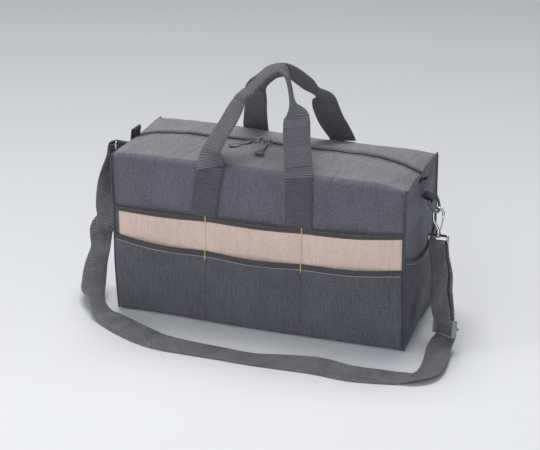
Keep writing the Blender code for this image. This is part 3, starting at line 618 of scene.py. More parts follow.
def creaseAt(y, z):
    fold = endCrease
    off = ((z - fold["z"]) * fold["rise"] - (y - fold["y"]) * fold["run"]) / fold["long"]  # beside its line
    shape = fold["sharp"] * bell(off / fold["fold"] + 0.5) ** 3 - bell(off / fold["swell"] + 0.75)
    low = fold["deep"] * shape * ease((fold["stop"] - z) / fold["fade"])
    above = (z - fold["high"] - fold["highSlope"] * y) / fold["highFold"]
    return low + fold["highDeep"] * bell(above + 0.5) ** 2


def endSag(facing, y, z):
    fade = edgeFade(halfDepth - abs(y)) * edgeFade(z, 0.04)
    crease = creaseAt(y, z) if facing > 0 else 0.0
    wave = waver(y * 12 + 5 * facing, z * 10, 4.1) + 0.4 * waver(y * 31, z * 27, 8.8)
    return fade * (body["sag"] * wave - crease)


def topSag(x, y):
    fade = edgeFade(halfLength - abs(x), 0.02) * edgeFade(halfDepth - abs(y), 0.02)
    slow = waver(x * 9, y * 12, 2.2)
    fine = waver(x * 24, y * 30, 9.9)
    folds = waver(x * 52, y * 34, 5.5) * ease((abs(x) - 0.09) / 0.09)
    return body["topSag"] * fade * (slow + 0.5 * fine + 0.45 * folds)


def faceOut(facing, x, z):
    # how far out a long side's cloth stands; endOut is the same for an end
    return halfDepth + faceBulge(x, z) + faceSag(facing, x, z)


def endOut(facing, y, z):
    return halfLength + endBulge(y, z) + endSag(facing, y, z)


settle = {  # how the filled bag's soft ends lie; a pair is where a movement starts and how far it takes
    "from": 0.12, "power": 2.5, "low": 0.205, "leftDip": 1 * mm, "rightDip": 7.5 * mm,
    "frontDip": 6.5 * mm, "frontY": (-0.096, 0.056),
    "corner": 0.5 * mm, "cornerX": (0.198, 0.03), "cornerY": (0.07, 0.024),
    "backRise": 2.4 * mm, "backFall": 3.8 * mm, "backX": (-0.13, 0.17), "backY": (0.02, 0.06),
    "belly": 9 * mm, "bellyX": (-0.19, 0.2), "bellyY": (0.02, 0.06), "bellyTop": 0.1,
    "slant": 6.5 * mm, "cornerIn": 5 * mm, "toeOut": 5 * mm, "toeY": 0.09, "middle": 0.1, "foot": 0.11,
    "topFoot": 0.14,
}


def sideways(x, y, z):
    # the right end stands a little askew, and the left end's foot is drawn in
    reach = grow(abs(x), settle["middle"], halfLength - settle["middle"])
    if x > 0:
        toe = settle["toeOut"] * ease((settle["foot"] - z) / settle["foot"]) * ease(-y / settle["toeY"])
        return (toe - settle["slant"] * limited(y / body["depth"] + 0.5)) * reach
    foot = max(1 - z / settle["foot"], 0.0) ** 2 * ease(0.5 - y / body["depth"])
    top = grow(z, settle["topFoot"], settle["foot"]) * ease(0.5 - y / body["depth"])
    return (settle["cornerIn"] * foot - 0.5 * settle["cornerIn"] * top) * reach


def settled(spot):
    # the crown dies away towards the ends, the back edge falls to the right, and the front's foot swells
    x, y, z = spot
    lift = grow(z, settle["low"], body["height"] - settle["low"])
    share = limited((abs(x) - settle["from"]) / (halfLength - settle["from"])) ** settle["power"]
    dip = settle["rightDip"] if x > 0 else settle["leftDip"]
    drop = share * (crownAt(y) + dip * bell(y / body["depth"] + 0.5) ** 0.8)
    if x > 0:
        start, over = settle["frontY"]
        drop += share * settle["frontDip"] * bell((y - start) / over)
    drop += settle["corner"] * grow(abs(x), *settle["cornerX"]) * grow(abs(y), *settle["cornerY"])
    back = mix(settle["backRise"], -settle["backFall"], grow(x, *settle["backX"]))
    back *= grow(y, *settle["backY"])
    belly = settle["belly"] * grow(x, *settle["bellyX"]) * grow(-y, *settle["bellyY"])
    belly *= ease((settle["bellyTop"] - z) / settle["bellyTop"])
    return Vector((x + sideways(x, y, z), y - belly, z + lift * (back - drop)))


shell = {
    "rim": 5 * mm, "edgeStart": 0.238, "shoulder": 10 * mm, "skin": 1.25 * mm, "zipEdge": 2.1 * mm,
    "thickness": 2.0 * mm, "height": 0.36, "footTo": 0.03, "faceTo": 0.66, "edgeTo": 0.74, "topTo": 0.97,
    "under": 0.35 * mm, "underIn": (5 * mm, 1.5 * mm), "rimPull": 1.4 * mm, "edgePull": 8.5 * mm,
    "shoulderPull": (0, 6 * mm, -1.4 * mm), "roll": 0.9 * mm, "rollIn": 3 * mm,
}


def topHeight(x, y):
    return hingeZ + crownAt(y) + shell["skin"] + topSag(x, y)


def partOf(v, start, end):
    return (v - shell[start]) / (shell[end] - shell[start])


def skinPoint(facing, x, v):
    # a point of a long side's outer cloth: v runs up from under the base, over the edge to the zip
    if v < shell["footTo"]:
        under = [Vector((0, halfDepth - inset, shell["under"])) for inset in shell["underIn"]]
        rim = Vector((0, halfDepth + faceBulge(x, shell["rim"]), shell["rim"]))
        spot = bezier(*under, Vector((0, halfDepth, shell["rimPull"])), rim, v / shell["footTo"])
        return Vector((x, facing * spot.y, spot.z))
    if v < shell["faceTo"]:
        z = mix(shell["rim"], shell["edgeStart"], partOf(v, "footTo", "faceTo"))
        return Vector((x, facing * faceOut(facing, x, z), z))
    inner = halfDepth - shell["shoulder"]
    if v < shell["edgeTo"]:
        start = Vector((0, faceOut(facing, x, shell["edgeStart"]), shell["edgeStart"]))
        end = Vector((0, inner, topHeight(x, inner)))
        pulled = start + wayZ * shell["edgePull"], end + Vector(shell["shoulderPull"])
        spot = bezier(start, *pulled, end, partOf(v, "faceTo", "edgeTo"))
        return Vector((x, facing * spot.y, spot.z))
    if v < shell["topTo"]:
        y = mix(inner, shell["zipEdge"], partOf(v, "edgeTo", "topTo"))
        return Vector((x, facing * y, topHeight(x, y)))
    t = (v - shell["topTo"]) / (1 - shell["topTo"])
    turn, roll = math.pi * t, shell["roll"]
    y = shell["zipEdge"] - roll * math.sin(turn) + shell["rollIn"] * t
    return Vector((x, facing * y, topHeight(x, shell["zipEdge"]) - roll * (1 - math.cos(turn))))


def makeSkins():
    for name, facing in longSides:
        def place(u, v, facing=facing):
            return skinPoint(facing, mix(-halfLength, halfLength, u), v)

        # faces above the edge take the top cloth, with its painted light; the rest take the front cloth,
        # with its painted shade
        layers = [cloth["front"], cloth["top"], cloth["lining"], cloth["lining"]]
        skin = gridPiece(
            name + "Skin", place, 96, 100, layers, (body["length"], shell["height"]), shell["thickness"],
            lambda u, v: 1 if v > shell["edgeTo"] else 0, flip=facing > 0,
        )
        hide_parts(f"{name}_panel", f"{name}_top_panel")
        end = (0, facing * (halfDepth - shell["shoulder"] + 2 * mm), hingeZ + 2 * mm)
        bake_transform(skin)
    reach = halfDepth - 0.8 * mm
    for name, facing in endSides:
        def place(u, v, facing=facing):
            y = mix(-reach, reach, u)
            z = mix(1.5 * mm, body["height"] + crownAt(y) - 0.4 * mm, v)
            x = endOut(facing, y, z)
            if v < 0.04:
                x -= 3 * mm * (1 - v / 0.04) ** 2
            return Vector((facing * x, y, z))

        size = (body["depth"], body["height"])
        # the ends take the front cloth, with its painted shade
        layers = [cloth["front"], cloth["lining"]]
        end = gridPiece(name + "EndSkin", place, 44, 60, layers, size, shell["thickness"], flip=facing < 0)
        dress(end, "bag", "shell", f"{name}_end_panel")


def makeBase():
    base = {"inset": 4 * mm, "thickness": 1.6 * mm, "level": 0.5 * mm}
    x, y = halfLength - base["inset"], halfDepth - base["inset"]

    def place(u, v):
        return Vector((mix(-x, x, u), mix(-y, y, v), base["level"]))

    size = (body["length"], body["depth"])
    layers = [cloth["pocket"], cloth["lining"]]
    sheet = gridPiece("baseSheet", place, 24, 12, layers, size, base["thickness"], flip=True)
    dress(sheet, "bag", "shell", "bottom_panel")
    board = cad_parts["bottom_board"].data.materials
    board.clear()
    board.append(hard["stiffBoard"])


# pockets

pocket = {
    "cloth": 1.8 * mm, "mouth": 5 * mm, "base": 4 * mm, "inset": 1.5 * mm, "divisions": 3, "gap": 0.3 * mm,
    "innerTop": 0.171, "innerRise": 0.011, "innerDip": 0.001, "seams": (-0.079, 0.073),
    "sideSeam": 6.5 * mm, "outerTop": 0.115, "outerRise": 0.010, "binding": 9 * mm, "fold": 3.4 * mm,
    "ripple": 0.7 * mm, "outerRipple": 0.5 * mm, "tuck": 1.2 * mm,
}
bindingOutline = (
    (0.82, 0.95), (0.4, 1), (0, 1.02), (-0.4, 1), (-0.85, 0.9), (-1, 0.35),
    (-1, -0.35), (-0.85, -0.8), (0, -0.85), (0.82, -0.8), (1, -0.3), (1, 0.35),
)
hemOutline = (
    (0.9, 1), (0, 1), (-0.9, 1), (-1, 0.4), (-1, -0.4),
    (-0.9, -0.8), (0, -0.8), (0.9, -0.8), (1, -0.3), (1, 0.4),
)


def tuckAt(v):
    # a pocket's foot is drawn in
    return pocket["tuck"] * max(1 - v / 0.05, 0.0)


def mouth(x, z, top):
    swell = bell(pocket["divisions"] * (x / body["length"] + 0.5) % 1.0) ** 1.4
    rise = limited((z - pocket["base"]) / (top - pocket["base"]))
    return pocket["gap"] + pocket["mouth"] * swell * rise


def innerTop(x):
    rise = pocket["innerRise"] if x > 0 else -pocket["innerDip"]
    return pocket["innerTop"] + rise * abs(x / halfLength) ** 2.4


def outerTop(x):
    return pocket["outerTop"] + pocket["outerRise"] * (x / halfLength) ** 2


def innerFace(facing, x, z):
    ripple = pocket["ripple"] * waver(x * 34, z * 9, 12.5 + facing) * edgeFade(z - 0.09, 0.02)
    return faceOut(facing, x, z) + mouth(x, z, pocket["innerTop"]) + max(ripple, -0.3 * mm)


def outerFace(facing, x, z):
    ripple = pocket["outerRipple"] * waver(x * 21, z * 12, 15.5 + facing)
    inner = faceOut(facing, x, z) + mouth(x, z, pocket["innerTop"]) + pocket["cloth"]
    return inner + mouth(x, z, pocket["outerTop"]) + max(ripple, -0.2 * mm)


def pocketPiece(name, facing, face, top, look, node, inset):
    half = halfLength - pocket["inset"]

    def place(u, v):
        x = mix(-half + inset, half - min(inset, 1.2 * mm), u)
        z = mix(pocket["base"], top(x) - 2 * mm, v)
        return Vector((x, facing * (face(facing, x, z) + pocket["cloth"] - tuckAt(v)), z))

    size = (2 * half, pocket["outerTop"])
    piece = gridPiece(name, place, 96, 36, cloth[look], size, pocket["cloth"] * 0.8, flip=facing > 0)
    dress(piece, "bag", look, node)


def bindingPiece(name, facing, face, top, node):
    # tape folded over a pocket's mouth: a flat hairpin section that follows the edge
    half = halfLength - pocket["inset"]
    points, sections = [], []
    for k in range(97):
        x = mix(-half, half, k / 96)
        z = top(x) - pocket["binding"] / 2
        points.append(Vector((x, facing * (face(facing, x, z) + pocket["cloth"] / 2), z)))
        w = pocket["binding"] / 2 + 0.25 * mm * waver(x * 40, 3.3, facing)
        lean = (face(facing, x, z + w) - face(facing, x, z - w)) / 2
        sections.append([(a, b + lean * a / w) for a, b in scaled(bindingOutline, w, pocket["fold"] / 2)])
    piece = sweep(name, points, (wayX, wayZ, wayY * facing), sections, cloth["binding"], smooth=50)
    dress(piece, "bag", "binding", node)


def faceRow(facing, face, spotAt, out, steps):
    # a row of stitches on a long side; spotAt(share) gives x and z
    def place(share):
        x, z = spotAt(share)
        return Vector((x, facing * (face(facing, x, z) + out), z))

    return seamRow(steps, place, wayY * facing)


def barTack(facing, face, x, low, high, out):
    rows, count = [], 15
    for k in range(count):
        z = mix(low, high, k / (count - 1))
        lean = 0.25 * mm * (-1) ** k
        row = []
        for share in (-1, 0, 1):
            y = facing * (face(facing, x, z) + out)
            row.append((Vector((x + share * 1.15 * mm, y, z + lean * share)), wayY * facing))
        rows.append(row)
    return rows


def makePockets():
    surface = pocket["cloth"]
    onBinding = surface / 2 + 1.75 * mm
    half = halfLength - 3 * mm
    for name, facing in longSides:
        inset = pocket["sideSeam"] if facing < 0 else 1.2 * mm
        innerNode, outerNode = f"{name}_inner_pocket", f"{name}_outer_pocket"
        pocketPiece(name + "TaupePocket", facing, innerFace, innerTop, "taupe", innerNode, inset)
        pocketPiece(name + "OuterPocket", facing, outerFace, outerTop, "pocket", outerNode, 0.0)
        bindingPiece(name + "TaupeBinding", facing, innerFace, innerTop, innerNode + "_binding")
        bindingPiece(name + "OuterBinding", facing, outerFace, outerTop, outerNode + "_binding")

        def edgeRow(face, top, drop, facing=facing):
            def spotAt(share):
                x = mix(-half, half, share)
                return x, top(x) - drop * mm

            return faceRow(facing, face, spotAt, onBinding, 120)

        def column(face, x, low, high, steps, facing=facing):
            return faceRow(facing, face, lambda share: (x, mix(low, high, share)), surface, steps)

        tan = [edgeRow(innerFace, innerTop, drop) for drop in (1.9, 7.0)]
        stitches(name + "BindingStitches", tan, (3.2, 2.1, 0.34), hard["tanThread"])
        pale = [edgeRow(outerFace, outerTop, 8.6)]
        stitches(name + "PaleStitches", pale, (3.9, 2.9, 0.5), hard["paleThread"])
        columns, seams, tacks = [], [], []
        for x in pocket["seams"]:
            inner, outer = innerTop(x), outerTop(x)
            columns.append(column(innerFace, x, outer + 1 * mm, inner - pocket["binding"] - 1 * mm, 20))
            seams.append(column(outerFace, x, 7 * mm, outer - pocket["binding"] - 1 * mm, 40))
            tacks += barTack(facing, innerFace, x, inner - 11.5 * mm, inner + 0.5 * mm, onBinding)
            tacks += barTack(facing, outerFace, x, outer - 13 * mm, outer + 1.5 * mm, onBinding)
        stitches(name + "DivisionStitches", columns, (2.9, 2.2, 0.34), hard["brownThread"])
        stitches(name + "PocketSeams", seams, (3.0, 2.2, 0.32), hard["darkThread"])
        stitches(name + "BarTacks", tacks, (3.0, 2.3, 0.45), hard["yellowThread"], lift=0.35)


# end pockets, piping and the top seams

endPocket = {
    "top": 0.120, "rise": 0.021, "mouth": 3 * mm, "hem": 7 * mm, "hemThick": 1.25 * mm, "cloth": 1.8 * mm,
}
piping = {"radius": 1.5 * mm, "out": 1.2 * mm, "topOut": 1.1 * mm}


def endTop(y):
    return endPocket["top"] + endPocket["rise"] * (y / halfDepth) ** 2


def endFace(facing, y, z):
    rise = limited((z - pocket["base"]) / (endPocket["top"] - pocket["base"]))
    swell = endPocket["mouth"] * bell(y / body["depth"] + 0.5) * rise
    return endOut(facing, y, z) + pocket["gap"] + swell


def makeEndPocket(name, facing):
    half = halfDepth - pocket["inset"]

    def place(u, v):
        y = mix(-half, half, u)
        z = mix(pocket["base"], endTop(y) - 2 * mm, v)
        return Vector((facing * (endFace(facing, y, z) + endPocket["cloth"] - tuckAt(v)), y, z))

    def hemAt(share, drop, out):
        y = mix(-half, half, share)
        z = endTop(y) - drop
        return Vector((facing * (endFace(facing, y, z) + endPocket["cloth"] / 2 + out), y, z))

    size = (2 * half, endPocket["top"])
    thick = endPocket["cloth"] * 0.8
    piece = gridPiece(name + "EndPocket", place, 44, 34, cloth["endPocket"], size, thick, flip=facing < 0)
    dress(piece, "bag", "pocket", f"{name}_end_pocket")
    hem, thick = endPocket["hem"], endPocket["hemThick"]
    points = [hemAt(k / 44, hem / 2, 0.0) for k in range(45)]
    section = scaled(hemOutline, hem / 2, thick)
    axes = (wayY, wayZ, wayX * facing)
    piece = sweep(name + "EndHem", points, axes, section, cloth["endPocket"], smooth=50)
    dress(piece, "bag", "pocket", f"{name}_end_pocket_hem")
    row = seamRow(44, lambda share: hemAt(share, hem - 1.2 * mm, thick), wayX * facing)
    stitches(name + "HemStitches", [row], (3.6, 2.4, 0.34), hard["paleThread"])


def makeTopSeam(name, facing):
    def seamAt(share):
        y = mix(-halfDepth - 0.5 * mm, halfDepth + 0.5 * mm, share)
        return Vector((facing * (halfLength + piping["topOut"]), y, body["height"] + crownAt(y) + 0.2 * mm))

    def rowAt(share):
        y = mix(-halfDepth - 0.5 * mm, halfDepth + 0.5 * mm, share)
        z = body["height"] + crownAt(y) + 0.2 * mm
        out = halfLength + endBulge(y, z) + endSag(facing, y, z - 4 * mm)
        return Vector((facing * out, y, z - 4 * mm))

    seam = [seamAt(k / 40) for k in range(41)]
    piece = wire(name + "TopSeam", seam, piping["radius"], cloth["piping"], wayX, sides=10)
    dress(piece, "bag", "binding")
    thread = hard["darkThread" if facing < 0 else "paleThread"]
    stitches(name + "TopSeamStitches", [seamRow(40, rowAt, wayX * facing)], (3.6, 2.3, 0.3), thread)


def makePiping():
    for endName, side in endSides:
        for faceName, face in longSides:
            points = []
            for k in range(61):
                z = mix(1.9 * mm, body["height"] - 2.5 * mm, k / 60)
                wave = 0.35 * mm * waver(z * 22, side * 3.0, face * 2.0)
                x = side * (halfLength + piping["out"] + wave)
                points.append(Vector((x, face * (halfDepth + piping["out"] + wave * 0.5), z)))
            name = f"{faceName}{endName.capitalize()}Piping"
            # the back piping takes the front cloth, with its painted shade
            material = cloth["piping" if face < 0 else "front"]
            piece = wire(name, points, piping["radius"], material, wayY, sides=10)
            dress(piece, "bag", "binding", f"{faceName}_{endName}_piping")


# the zip

zipper = {
    "teethPitch": 1.9 * mm, "coilY": 1.35 * mm, "radius": 1.1 * mm, "end": 0.2165, "tapeFrom": 3.4 * mm,
    "tapeTo": 13 * mm, "tape": 0.6 * mm, "tooth": 0.95 * mm, "rows": (8.2 * mm, 11.0 * mm),
}


def makeTeeth(name, facing):
    bm = bmesh.new()
    level = hingeZ + body["crown"] - 0.3 * mm
    pitch, wide = zipper["teethPitch"], 2 * zipper["radius"]
    for k in range(int(2 * zipper["end"] / pitch)):
        x = -zipper["end"] + (k + 0.25 + (0.5 if facing > 0 else 0.0)) * pitch
        for vertex in bmesh.ops.create_cube(bm, size=1.0)["verts"]:
            reach = vertex.co.y * facing
            inward = reach < 0
            vertex.co.x = x + vertex.co.x * zipper["tooth"] * (0.8 if inward else 1.0)
            vertex.co.z = level + vertex.co.z * wide * 0.8 * (0.9 if inward else 1.0)
            vertex.co.y = facing * (zipper["coilY"] + reach * wide)
    teeth = newObject(name + "ZipCoil", bm, hard["zipCoil"], smooth=30)
    dress(teeth, f"{name}_flap", "zip_coil", f"{name}_zip_coil")


def makeZip():
    for name, facing in longSides:
        def tapeAt(u, v, facing=facing):
            y = mix(zipper["tapeTo"], zipper["tapeFrom"], v)
            x = mix(-halfLength + 2 * mm, halfLength - 2 * mm, u)
            return Vector((x, facing * y, hingeZ + crownAt(y) - 0.9 * mm))

        def rowAt(y, facing=facing):
            def place(share):
                x = mix(-halfLength + 4 * mm, halfLength - 4 * mm, share)
                return Vector((x, facing * y, topHeight(x, y)))

            return seamRow(90, place, wayZ)

        size = (body["length"], 0.01)
        tape = gridPiece(
            name + "ZipTape", tapeAt, 48, 3, cloth["tape"], size, zipper["tape"], flip=facing > 0,
        )
        dress(tape, f"{name}_flap", "zip_tape", f"{name}_zip_tape")
        makeTeeth(name, facing)
        rows = [rowAt(y) for y in zipper["rows"]]
        stitches(name + "ZipStitches", rows, (3.4, 2.4, 0.28), hard["darkThread"], f"{name}_flap")


pulls = {
    "loop": 14 * mm, "tab": 36 * mm, "droop": 5 * mm, "thick": 1.7 * mm, "wide": 1.5, "ringHalf": 3.2 * mm,
}
pullSides = {
    "left": {"x": -0.0275, "turn": -50, "end": "bead"},
    "right": {"x": -0.0125, "turn": 0, "end": "arrow"},
}
pullOutline = (
    (1, 0.3), (0.75, 1), (0, 1.15), (-0.75, 1), (-1, 0.3),
    (-1, -0.3), (-0.75, -1), (0, -1.1), (0.75, -1), (1, -0.3),
)
slider = {"length": 12.5 * mm, "width": 10.5 * mm, "plate": 1.6 * mm, "bridge": 5 * mm, "wire": 0.8 * mm}
sliderBase = hingeZ + body["crown"] + 1.5 * mm + 0.3 * mm
sliderTop = sliderBase + slider["plate"]


def makePlate(name, x):
    # a shield-shaped plate with a rolled rim
    outline = []
    for k in range(28):
        a, b, square = rounded(2 * math.pi * k / 28, 3.2)
        pinch = 1 - 0.22 * max(a * (1 if name == "right" else -1), 0) ** 2
        outline.append((a * square * slider["length"] / 2, b * square * slider["width"] / 2 * pinch))
    bm = bmesh.new()
    base, top = sliderBase, sliderTop
    levels = [(0.9, base), (1.0, base + 0.4 * mm), (1.0, top - 0.4 * mm)]
    levels += [(0.88, top), (0.78, top - 0.25 * mm)]
    rings = [[bm.verts.new((x + a * size, b * size, z)) for a, b in outline] for size, z in levels]
    closeBands(bm, rings)
    bm.faces.new(list(reversed(rings[0])))
    bm.faces.new(rings[-1])
    bmesh.ops.recalc_face_normals(bm, faces=bm.faces)
    plate = newObject(name + "SliderPlate", bm, hard["sliderLacquer"], smooth=35)
    dress(plate, name + "_slider", "slider_metal", name + "_zip_slider")


def makeBridge(name, centre, along, side):
    points = []
    for turn in halfTurn(14):
        height = math.sin(turn) ** 0.45
        z = mix(sliderTop - 0.5 * mm, sliderTop + slider["bridge"] - slider["wire"], height)
        points.append(centre + along * (-3.5 * mm) * math.cos(turn) + wayZ * z)
    tangents = [tangentAt(points, i) for i in range(15)]
    frames = [(tangent, side, tangent.cross(side)) for tangent in tangents]
    section = scaled(roundSection(slider["wire"], 8), 1.5, 0.9)
    bridge = sweep(name + "SliderBridge", points, frames, section, hard["sliderLacquer"])
    dress(bridge, name + "_slider", "slider_metal")


def makePullRing(name, start, along, side):
    loop = []
    middle = start.lerp(start + along * pulls["loop"], 0.5)
    for k in range(28):
        a, b, square = rounded(2 * math.pi * k / 28, 4)
        across = side * b * square * pulls["ringHalf"] * (1 - 0.15 * a)
        spot = middle + along * a * square * pulls["loop"] / 2 + across
        spot.z -= pulls["droop"] * ease((spot - start).length / pulls["loop"]) * 0.35
        loop.append(spot)
    ring = wire(name + "PullRing", loop, slider["wire"], hard["sliderLacquer"], wayZ, closed=True, sides=8)
    dress(ring, name + "_pull", "slider_metal", name + "_pull_ring")


def pullWidth(kind, share):
    # in millimetres, from the ring's end on
    if kind == "bead":
        return 3.6 + 3.0 * bell(share * 2.4) + 5.2 * bell((share - 0.45) / 0.55)
    if share < 0.6:
        return mix(3.4, 4.0, ease(share * 2))
    return mix(4.0, 10.5, ease((share - 0.6) / 0.3)) * (1 if share < 0.93 else 0.9)


def makePullTab(name, kind, start, along, side):
    points, sections = [], []
    for k in range(25):
        share = k / 24
        spot = start + along * (0.5 * mm + pulls["tab"] * share)
        spot.z -= pulls["droop"] * (0.35 + 0.65 * ease(share * 1.6))
        points.append(spot)
        thick = pulls["thick"] * (0.75 if share in (0, 1) else 1.0)
        sections.append(scaled(pullOutline, pullWidth(kind, share) * (pulls["wide"] * mm / 2), thick))
    frames = [(tangent, across, wayZ) for tangent, across, _ in pathFrames(points, [side] * 25)]
    tab = sweep(name + "PullTab", points, frames, sections, hard["pullRubber"], smooth=50)
    dress(tab, name + "_pull", "pull_rubber", name + "_pull_tab")


def makeSliders():
    for name, pull in pullSides.items():
        turn = math.radians(pull["turn"])
        along = Vector((math.sin(turn), -math.cos(turn), 0))
        side = along.cross(wayZ)
        centre = Vector((pull["x"], 0, 0))
        start = centre + wayZ * (sliderTop + slider["bridge"] - 1.6 * mm - slider["wire"] - 0.3 * mm)
        makePlate(name, pull["x"])
        makeBridge(name, centre, along, side)
        makePullRing(name, start, along, side)
        makePullTab(name, pull["end"], start + along * pulls["loop"] - along * 0.5 * mm, along, side)


zipTab = {
    "width": 25 * mm, "cloth": 1.6 * mm, "leans": {"left": -6, "right": 66},
    "lower": {"left": 5 * mm, "right": -4 * mm}, "rises": {"left": 26 * mm, "right": 9 * mm},
    "foot": 9 * mm,
}


def webPiece(name, path, steps, width, thickness, *nodes):
    # a short tab of webbing whose width lies along the bag's depth
    points = smoothPath(path, steps)
    frames = pathFrames(points, [wayY] * len(points))
    piece = sweep(name, points, frames, flatSection(width, thickness), webs["tab"], smooth=50)
    dress(piece, "bag", "webbing", *nodes)


def makeZipTabs():
    for name, side in endSides:
        lean = math.radians(zipTab["leans"][name])
        bulge = endBulge(0, body["height"] - 10 * mm)
        out = side * (halfLength + bulge + pocket["gap"] + zipTab["cloth"] / 2)
        top = body["height"] + body["crown"] / 2 - zipTab["lower"][name]
        edge = Vector((out + side * 0.3 * mm, 0, top))
        rise = Vector((side * math.sin(lean), 0, math.cos(lean)))
        away = Vector((side * math.cos(lean), 0, -math.sin(lean)))
        fold = zipTab["cloth"] + 0.3 * mm
        long = zipTab["rises"][name]
        path = [Vector((out, 0, top - zipTab["foot"])), edge, edge + rise * long * 0.6]
        for up, off in ((long * 0.95, -0.1), (long + 1 * mm, 0.9), (long * 0.95, 2), (long * 0.6, 2.1)):
            path.append(edge + rise * up + away * fold * off)
        path.append(edge + away * fold * 1.5 + wayX * (side * fold * 0.6))
        webPiece(name + "ZipTab", path, 5, zipTab["width"], zipTab["cloth"], f"{name}_zip_tab")


# carry handles

handle = {
    "lean": 58, "web": 42 * mm, "anchorThick": 1.9 * mm, "out": 1.3 * mm, "steps": 6, "crease": 0.7 * mm,
    "seamIn": 1.2 * mm, "anchorWave": 0.8 * mm,
}
handleRoutes = {  # across, up, width, thickness in millimetres, and roll in degrees
    "front": [
        (-71, -1, 42, 2, 0), (-73, 6, 41.5, 2, 5), (-75, 13, 42, 2.2, 14), (-75.5, 20, 42, 2.2, 24),
        (-72.5, 33, 42, 2.2, 30), (-66, 51, 42, 2.2, 33), (-58, 69, 42, 2.3, 33), (-51, 90, 39, 2.8, 33),
        (-46, 106, 30, 5, 33), (-40, 115, 26, 6, 33), (-33, 121, 25, 6.5, 32), (-22, 136, 23, 6.5, 31),
        (-12, 148.5, 23, 6.5, 31), (0, 157.5, 23, 6.5, 33), (9, 159.5, 23, 6.5, 45), (16, 154, 23, 6.3, 72),
        (22, 146, 22, 6.3, 92), (28, 133, 21, 6.5, 97), (34, 117, 20, 7, 95), (38.5, 107, 15, 12.5, 92),
        (43, 99, 8, 26, 90), (46.5, 91, 4, 37, 90), (48.5, 80, 2.4, 41, 90), (53.5, 54, 2, 42, 90),
        (59, 33, 2, 42, 90), (63.6, 15, 2, 42, 90), (65.6, 5, 2, 42, 90), (66.5, -1, 2, 42, 90),
    ],
    "back": [
        (-69, -1, 42, 2, 2), (-69, 4, 42, 2, 3), (-66, 20, 42, 2, 10), (-62, 40, 42, 2.1, 16),
        (-58, 61, 42, 2.2, 20), (-53, 85, 41, 2.5, 20), (-47, 103, 32, 4, 18), (-40, 114, 25, 6, 18),
        (-30, 125.5, 23, 6.5, 18), (-17, 139, 23, 6.5, 18), (-3, 146.5, 23, 6.5, 20), (9, 147, 23, 6.5, 22),
        (19, 141, 23, 6.5, 22), (30, 129, 23, 6.5, 22), (38, 119, 22, 6.5, 22), (46, 108.5, 15, 7, 20),
        (52, 103, 18, 6, 16), (56, 96, 31, 4, 13), (57, 86, 38, 2.8, 12), (57, 70, 41, 2.2, 10),
        (60, 45, 42, 2, 10), (65, 26, 42, 2, 9), (70, 8, 42, 2, 4), (72, -5, 42, 2, 2),
    ],
}
handleSeams = {"front": (3, 8, 22, 25), "back": (2, 6, 18, 21)}  # stations that are sewn across
anchorFeet = {"front": (-84, 67.5), "back": (-69, 72)}  # where each anchor's foot stands, in millimetres


def webSection(width, thickness, crease=0.0, count=24):
    # webbing that may be folded thick; crease lifts the middle of its wider faces
    out = []
    power = 7 if max(width, thickness) > 8 * min(width, thickness) else 3.2
    for k in range(count):
        a, b, scale = rounded(2 * math.pi * (k + 0.5) / count, power)
        x, y = a * scale, b * scale
        lift = crease * (1 - (x if width > thickness else y) ** 2)
        onEdge = thickness > width
        out.append((width / 2 * x + (lift if onEdge else 0), thickness / 2 * y + (0 if onEdge else lift)))
    return out


def crossSeams(points, frames, sizes, stations):
    # rows of stitches across the webbing, on both of its faces
    rows = []
    for i in [station * handle["steps"] + extra for station in stations for extra in (0, 2)]:
        (_, across, normal), size = frames[i], sizes[i] * mm
        flat = size.x > size.y
        wide, thin = (across, normal) if flat else (normal, across)
        long, short = (size.x, size.y) if flat else (size.y, size.x)
        for face in (-1, 1):
            off = thin * face * short / 2
            reach = long / 2 - handle["seamIn"]
            spots = [points[i] + wide * share * reach + off for share in (-1, -0.5, 0, 0.5, 1)]
            rows.append([(spot, thin * face) for spot in spots])
    return rows


def makeHandle(name, facing):
    stations, steps = handleRoutes[name], handle["steps"]
    lean = math.radians(handle["lean"])
    route = smoothPath([Vector((x, up, roll)) for x, up, _, _, roll in stations], steps)
    sizes = smoothPath([Vector((width, thick, 0)) for _, _, width, thick, _ in stations], steps)
    points = []
    for place in route:
        up = place.y * mm
        y = facing * (hingeY - up * math.cos(lean))
        points.append(Vector((place.x * mm, y, hingeZ + up * math.sin(lean))))
    plane = Vector((0, facing * math.sin(lean), math.cos(lean)))
    frames, sections = [], []
    for (tangent, up, side), place, size in zip(pathFrames(points, [plane] * len(points)), route, sizes):
        turn = math.radians(place.z)
        across = side * math.cos(turn) + up * math.sin(turn)
        frames.append((tangent, across, tangent.cross(across)))
        crease = handle["crease"] * waver(place.x * 0.05, place.y * 0.05, facing)
        crease *= ease((max(size.x, size.y) - 30) / 10)
        sections.append(webSection(size.x * mm, size.y * mm, crease))
    piece = sweep(name + "Handle", points, frames, sections, webs["handle"], smooth=60)
    dress(piece, f"{name}_carry_handle", "webbing", f"{name}_handle")
    rows = crossSeams(points, frames, sizes, handleSeams[name])
    thread = hard["darkThread"]
    stitches(name + "HandleStitches", rows, (2.6, 2.0, 0.32), thread, f"{name}_carry_handle")


